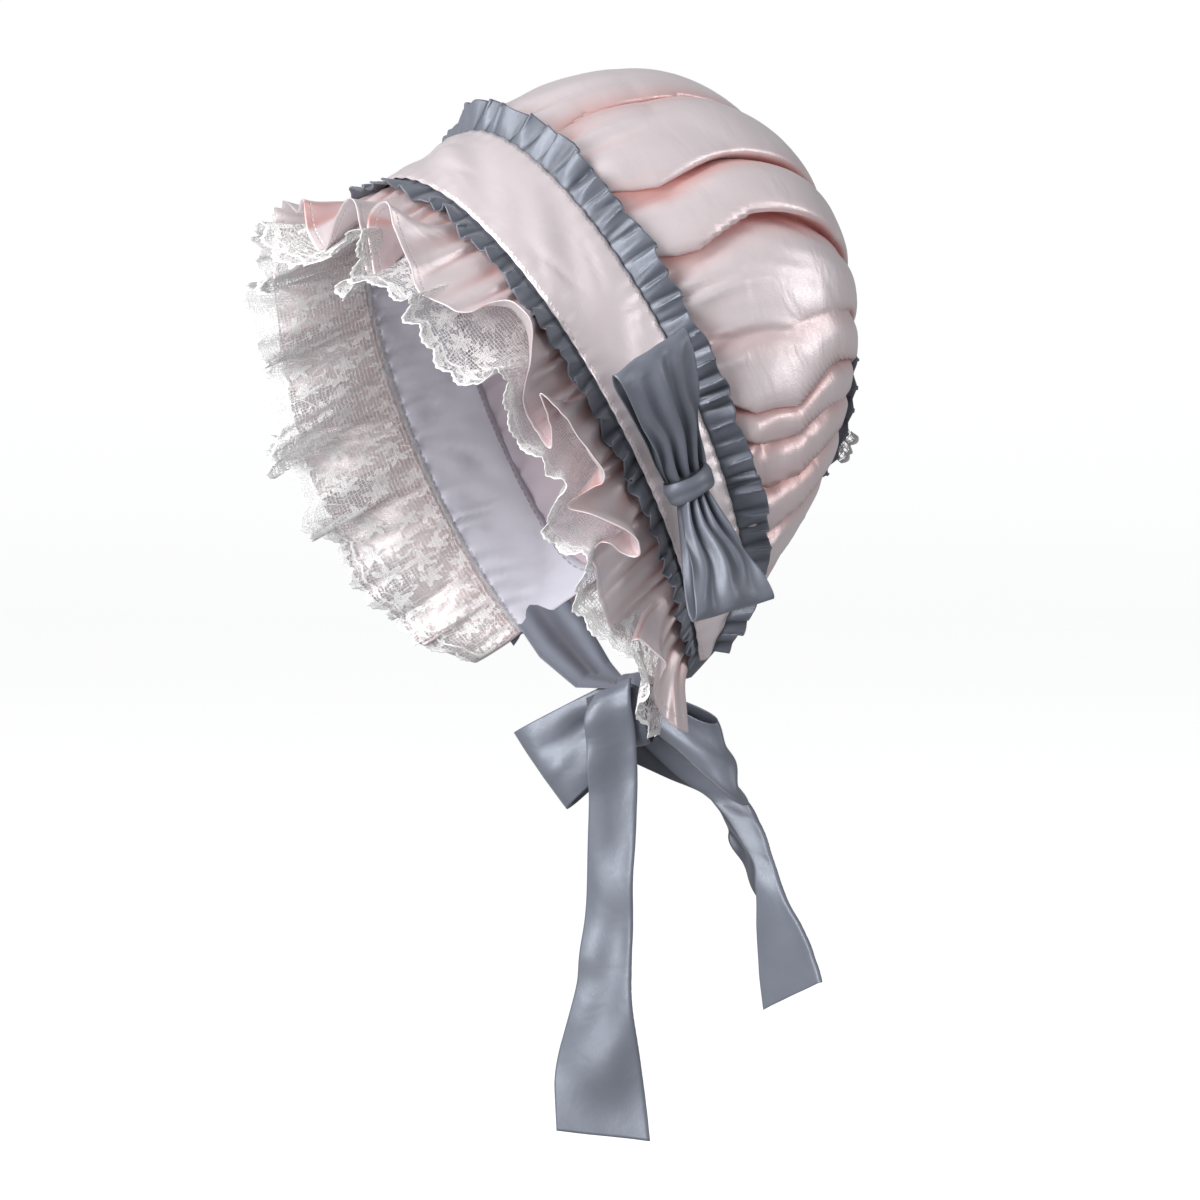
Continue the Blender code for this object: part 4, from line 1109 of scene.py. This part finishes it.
def tie_place(way):
    """A tie from between the band's end and its facing to the knot, way 1 on the wearer's left and -1
    on the right."""
    seam, outward = arch(np.array(way * TIE_SEAM_PLACE))
    start = worn(seam + outward * 1.2 * LAYER + BACK * TIE_SEAM_BACK)
    end = KNOT + ACROSS * way * (0.5 * KNOT_LENGTH + 0.001) + UP * 0.75 * KNOT_HALF_HEIGHT
    band_way = worn(BACK) - worn(0 * BACK)

    def place(u, v):
        sag, width, turn = (read(TIE_RUN, v, index) for index in range(1, 4))
        turn = np.radians(turn)
        wide = unit(band_way * column(np.cos(turn)) - OUT * column(np.sin(turn)))
        middle = start * column(1 - v) + end * column(v) - UP * column(sag * RIBBON_WIDTH)
        face = unit(np.cross(wide, end - start))
        fold = TIE_FOLD * np.cos(TAU * 1.5 * u) * np.sin(math.pi * (0.15 + 0.7 * v))
        point = middle + wide * column(width * RIBBON_WIDTH * (u - 0.5)) + face * column(fold)
        # Painted shade in the valleys of the folds
        painted_shade = np.clip(-fold / TIE_FOLD, 0, 1) * 0.7
        return point, RIBBON_WIDTH * u, 0.05 * v, {"hem": 1.0, "painted_shade": painted_shade}

    return place


chin_pieces = []
for name, solid, level, dip, lie, swing, length, fullness, seed in (
    ("chin_bow_front_ribbon", "chin_bow_front_loop", -1, 36.0, 126.0, 0.0, 0.046, 0.0070, 12),
    ("chin_bow_back_ribbon", "chin_bow_back_loop", 1, 31.0, 104.0, 18.0, 0.043, 0.0042, 17),
):
    way = ACROSS * level * math.cos(math.radians(dip)) - UP * math.sin(math.radians(dip))
    wide = width_way(lie, swing)
    facing_way = unit(np.cross(way, wide))
    out = facing_way if facing_way @ OUT > 0 else -facing_way
    root = KNOT + way * LOOP_ROOT_OUT + UP * 0.003
    place = loop_place(root, way, wide, out, length, 0.62, as_it_is, fullness, 1.5, seed)
    chin_pieces.append((cloth(name, 44, 96, place, GREY_SATIN), solid, (0.040, 2.0 * length), "folded"))
place = wrap_place(KNOT, ACROSS, UP, OUT, KNOT_LENGTH, KNOT_HALF_HEIGHT, KNOT_HALF_DEPTH, as_it_is, 2)
knot = cloth("chin_bow_middle", 72, 28, place, GREY_SATIN, closed=True)
chin_pieces.append((knot, "chin_bow_knot", (0.015, 0.075), "folded"))
for name, solid, rows, sway, seed in (
    ("long_ribbon_end", "long_tail", LONG_TAIL, 0.0024, 23),
    ("short_ribbon_end", "short_tail", SHORT_TAIL, 0.0010, 29),
):
    place, length = tail_place(rows, sway, seed)
    chin_pieces.append((cloth(name, 48, 190, place, GREY_SATIN), solid, (0.040, length), "hung"))
for name, solid, way in (("left_ribbon_tie", "tie_left", 1), ("right_ribbon_tie", "tie_right", -1)):
    chin_pieces.append((cloth(name, 36, 70, tie_place(way), GREY_SATIN), solid, (0.040, 0.060), "hung"))
for piece, solid, flat, held in chin_pieces:
    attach(piece, "root")
    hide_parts(solid)

# Floor, light and camera
# A pale floor that rises into a plain wall all round, and even daylight. One soft lamp stands above and
# left of the camera, one lower in front and a weak one to the right. The camera has the photograph's angle.
FLOOR_LEVEL = -0.60
FLOOR_RADIUS, WALL_HEIGHT = 7.0, 3.0
LOOK_AT = np.array([0.02764, -0.01234, -0.19848])
CAMERA_AZIMUTH, CAMERA_HEIGHT, CAMERA_DISTANCE = math.radians(57.0), math.radians(5.0), 3.0
FRAME_WIDTH, SENSOR = 0.48, 36.0


def plaster():
    """Matt white plaster, evenly rolled."""
    material = bpy.data.materials.new("matt_white_plaster")
    material.use_nodes = True
    tree = material.node_tree
    shader = tree.nodes["Principled BSDF"]
    place = add(tree, "TexCoord", output="Object")
    cloudy = add(tree, "TexNoise", {"Vector": place, "Scale": 2.0, "Detail": 2.0})
    base = add(tree, "Mix", {0: cloudy, 6: linear("#f4f4f3"), 7: linear("#f7f7f6")}, **COLOUR)
    tree.links.new(base, shader.inputs["Base Color"])
    shader.inputs["Roughness"].default_value = 0.9
    shader.inputs["Emission Color"].default_value = linear("#ffffff")
    shader.inputs["Emission Strength"].default_value = 0.62
    return material


bowl = bmesh.new()
bmesh.ops.create_grid(bowl, x_segments=64, y_segments=64, size=1.0)
for vertex in bowl.verts:
    square = max(abs(vertex.co.x), abs(vertex.co.y))
    spread = vertex.co.xy.normalized() * square * FLOOR_RADIUS if square > 0 else vertex.co.xy
    rim = max(square - 0.6, 0.0) / 0.4
    vertex.co = Vector((spread.x, spread.y, FLOOR_LEVEL + WALL_HEIGHT * rim**3))
floor_mesh = bpy.data.meshes.new("pale_floor")
bowl.to_mesh(floor_mesh)
bowl.free()
floor_mesh.shade_smooth()
floor_mesh.materials.append(plaster())
pale_floor = bpy.data.objects.new("pale_floor", floor_mesh)
bpy.context.scene.collection.objects.link(pale_floor)
pale_floor.visible_diffuse = False
pale_floor.visible_glossy = False

world = bpy.data.worlds.new("daylight")
bpy.context.scene.world = world
world.use_nodes = True
world.node_tree.nodes["Background"].inputs["Color"].default_value = linear("#fbfcff")
world.node_tree.nodes["Background"].inputs["Strength"].default_value = 0.34

towards = Vector((
    math.sin(CAMERA_AZIMUTH) * math.cos(CAMERA_HEIGHT),
    -math.cos(CAMERA_AZIMUTH) * math.cos(CAMERA_HEIGHT),
    math.sin(CAMERA_HEIGHT),
))
sideways = Vector((math.cos(CAMERA_AZIMUTH), math.sin(CAMERA_AZIMUTH), 0.0))
target = Vector(LOOK_AT)
for name, place, width, power in (
    ("soft_key", towards * 1.3 - sideways * 1.5 + Vector((0, 0, 1.5)), 0.9, 44.0),
    ("soft_front", towards * 2.0 - sideways * 1.3 + Vector((0, 0, 0.1)), 1.2, 42.0),
    ("soft_side", towards * 0.55 + sideways * 2.2 + Vector((0, 0, 0.45)), 0.9, 10.0),
):
    lamp = bpy.data.lights.new(name, "AREA")
    lamp.shape = "SQUARE"
    lamp.size = width
    lamp.energy = power
    lit = bpy.data.objects.new(name, lamp)
    lit.location = target + place
    lit.rotation_euler = (-place).to_track_quat("-Z", "Y").to_euler()
    bpy.context.scene.collection.objects.link(lit)

camera = bpy.data.cameras.new("camera")
camera.sensor_width = SENSOR
camera.lens = SENSOR * CAMERA_DISTANCE / FRAME_WIDTH
camera.clip_end = 60.0
viewer = bpy.data.objects.new("camera", camera)
viewer.location = target + towards * CAMERA_DISTANCE
viewer.rotation_euler = (-towards).to_track_quat("-Z", "Y").to_euler()
bpy.context.scene.collection.objects.link(viewer)
bpy.context.scene.camera = viewer
bpy.context.scene.view_settings.view_transform = "Standard"
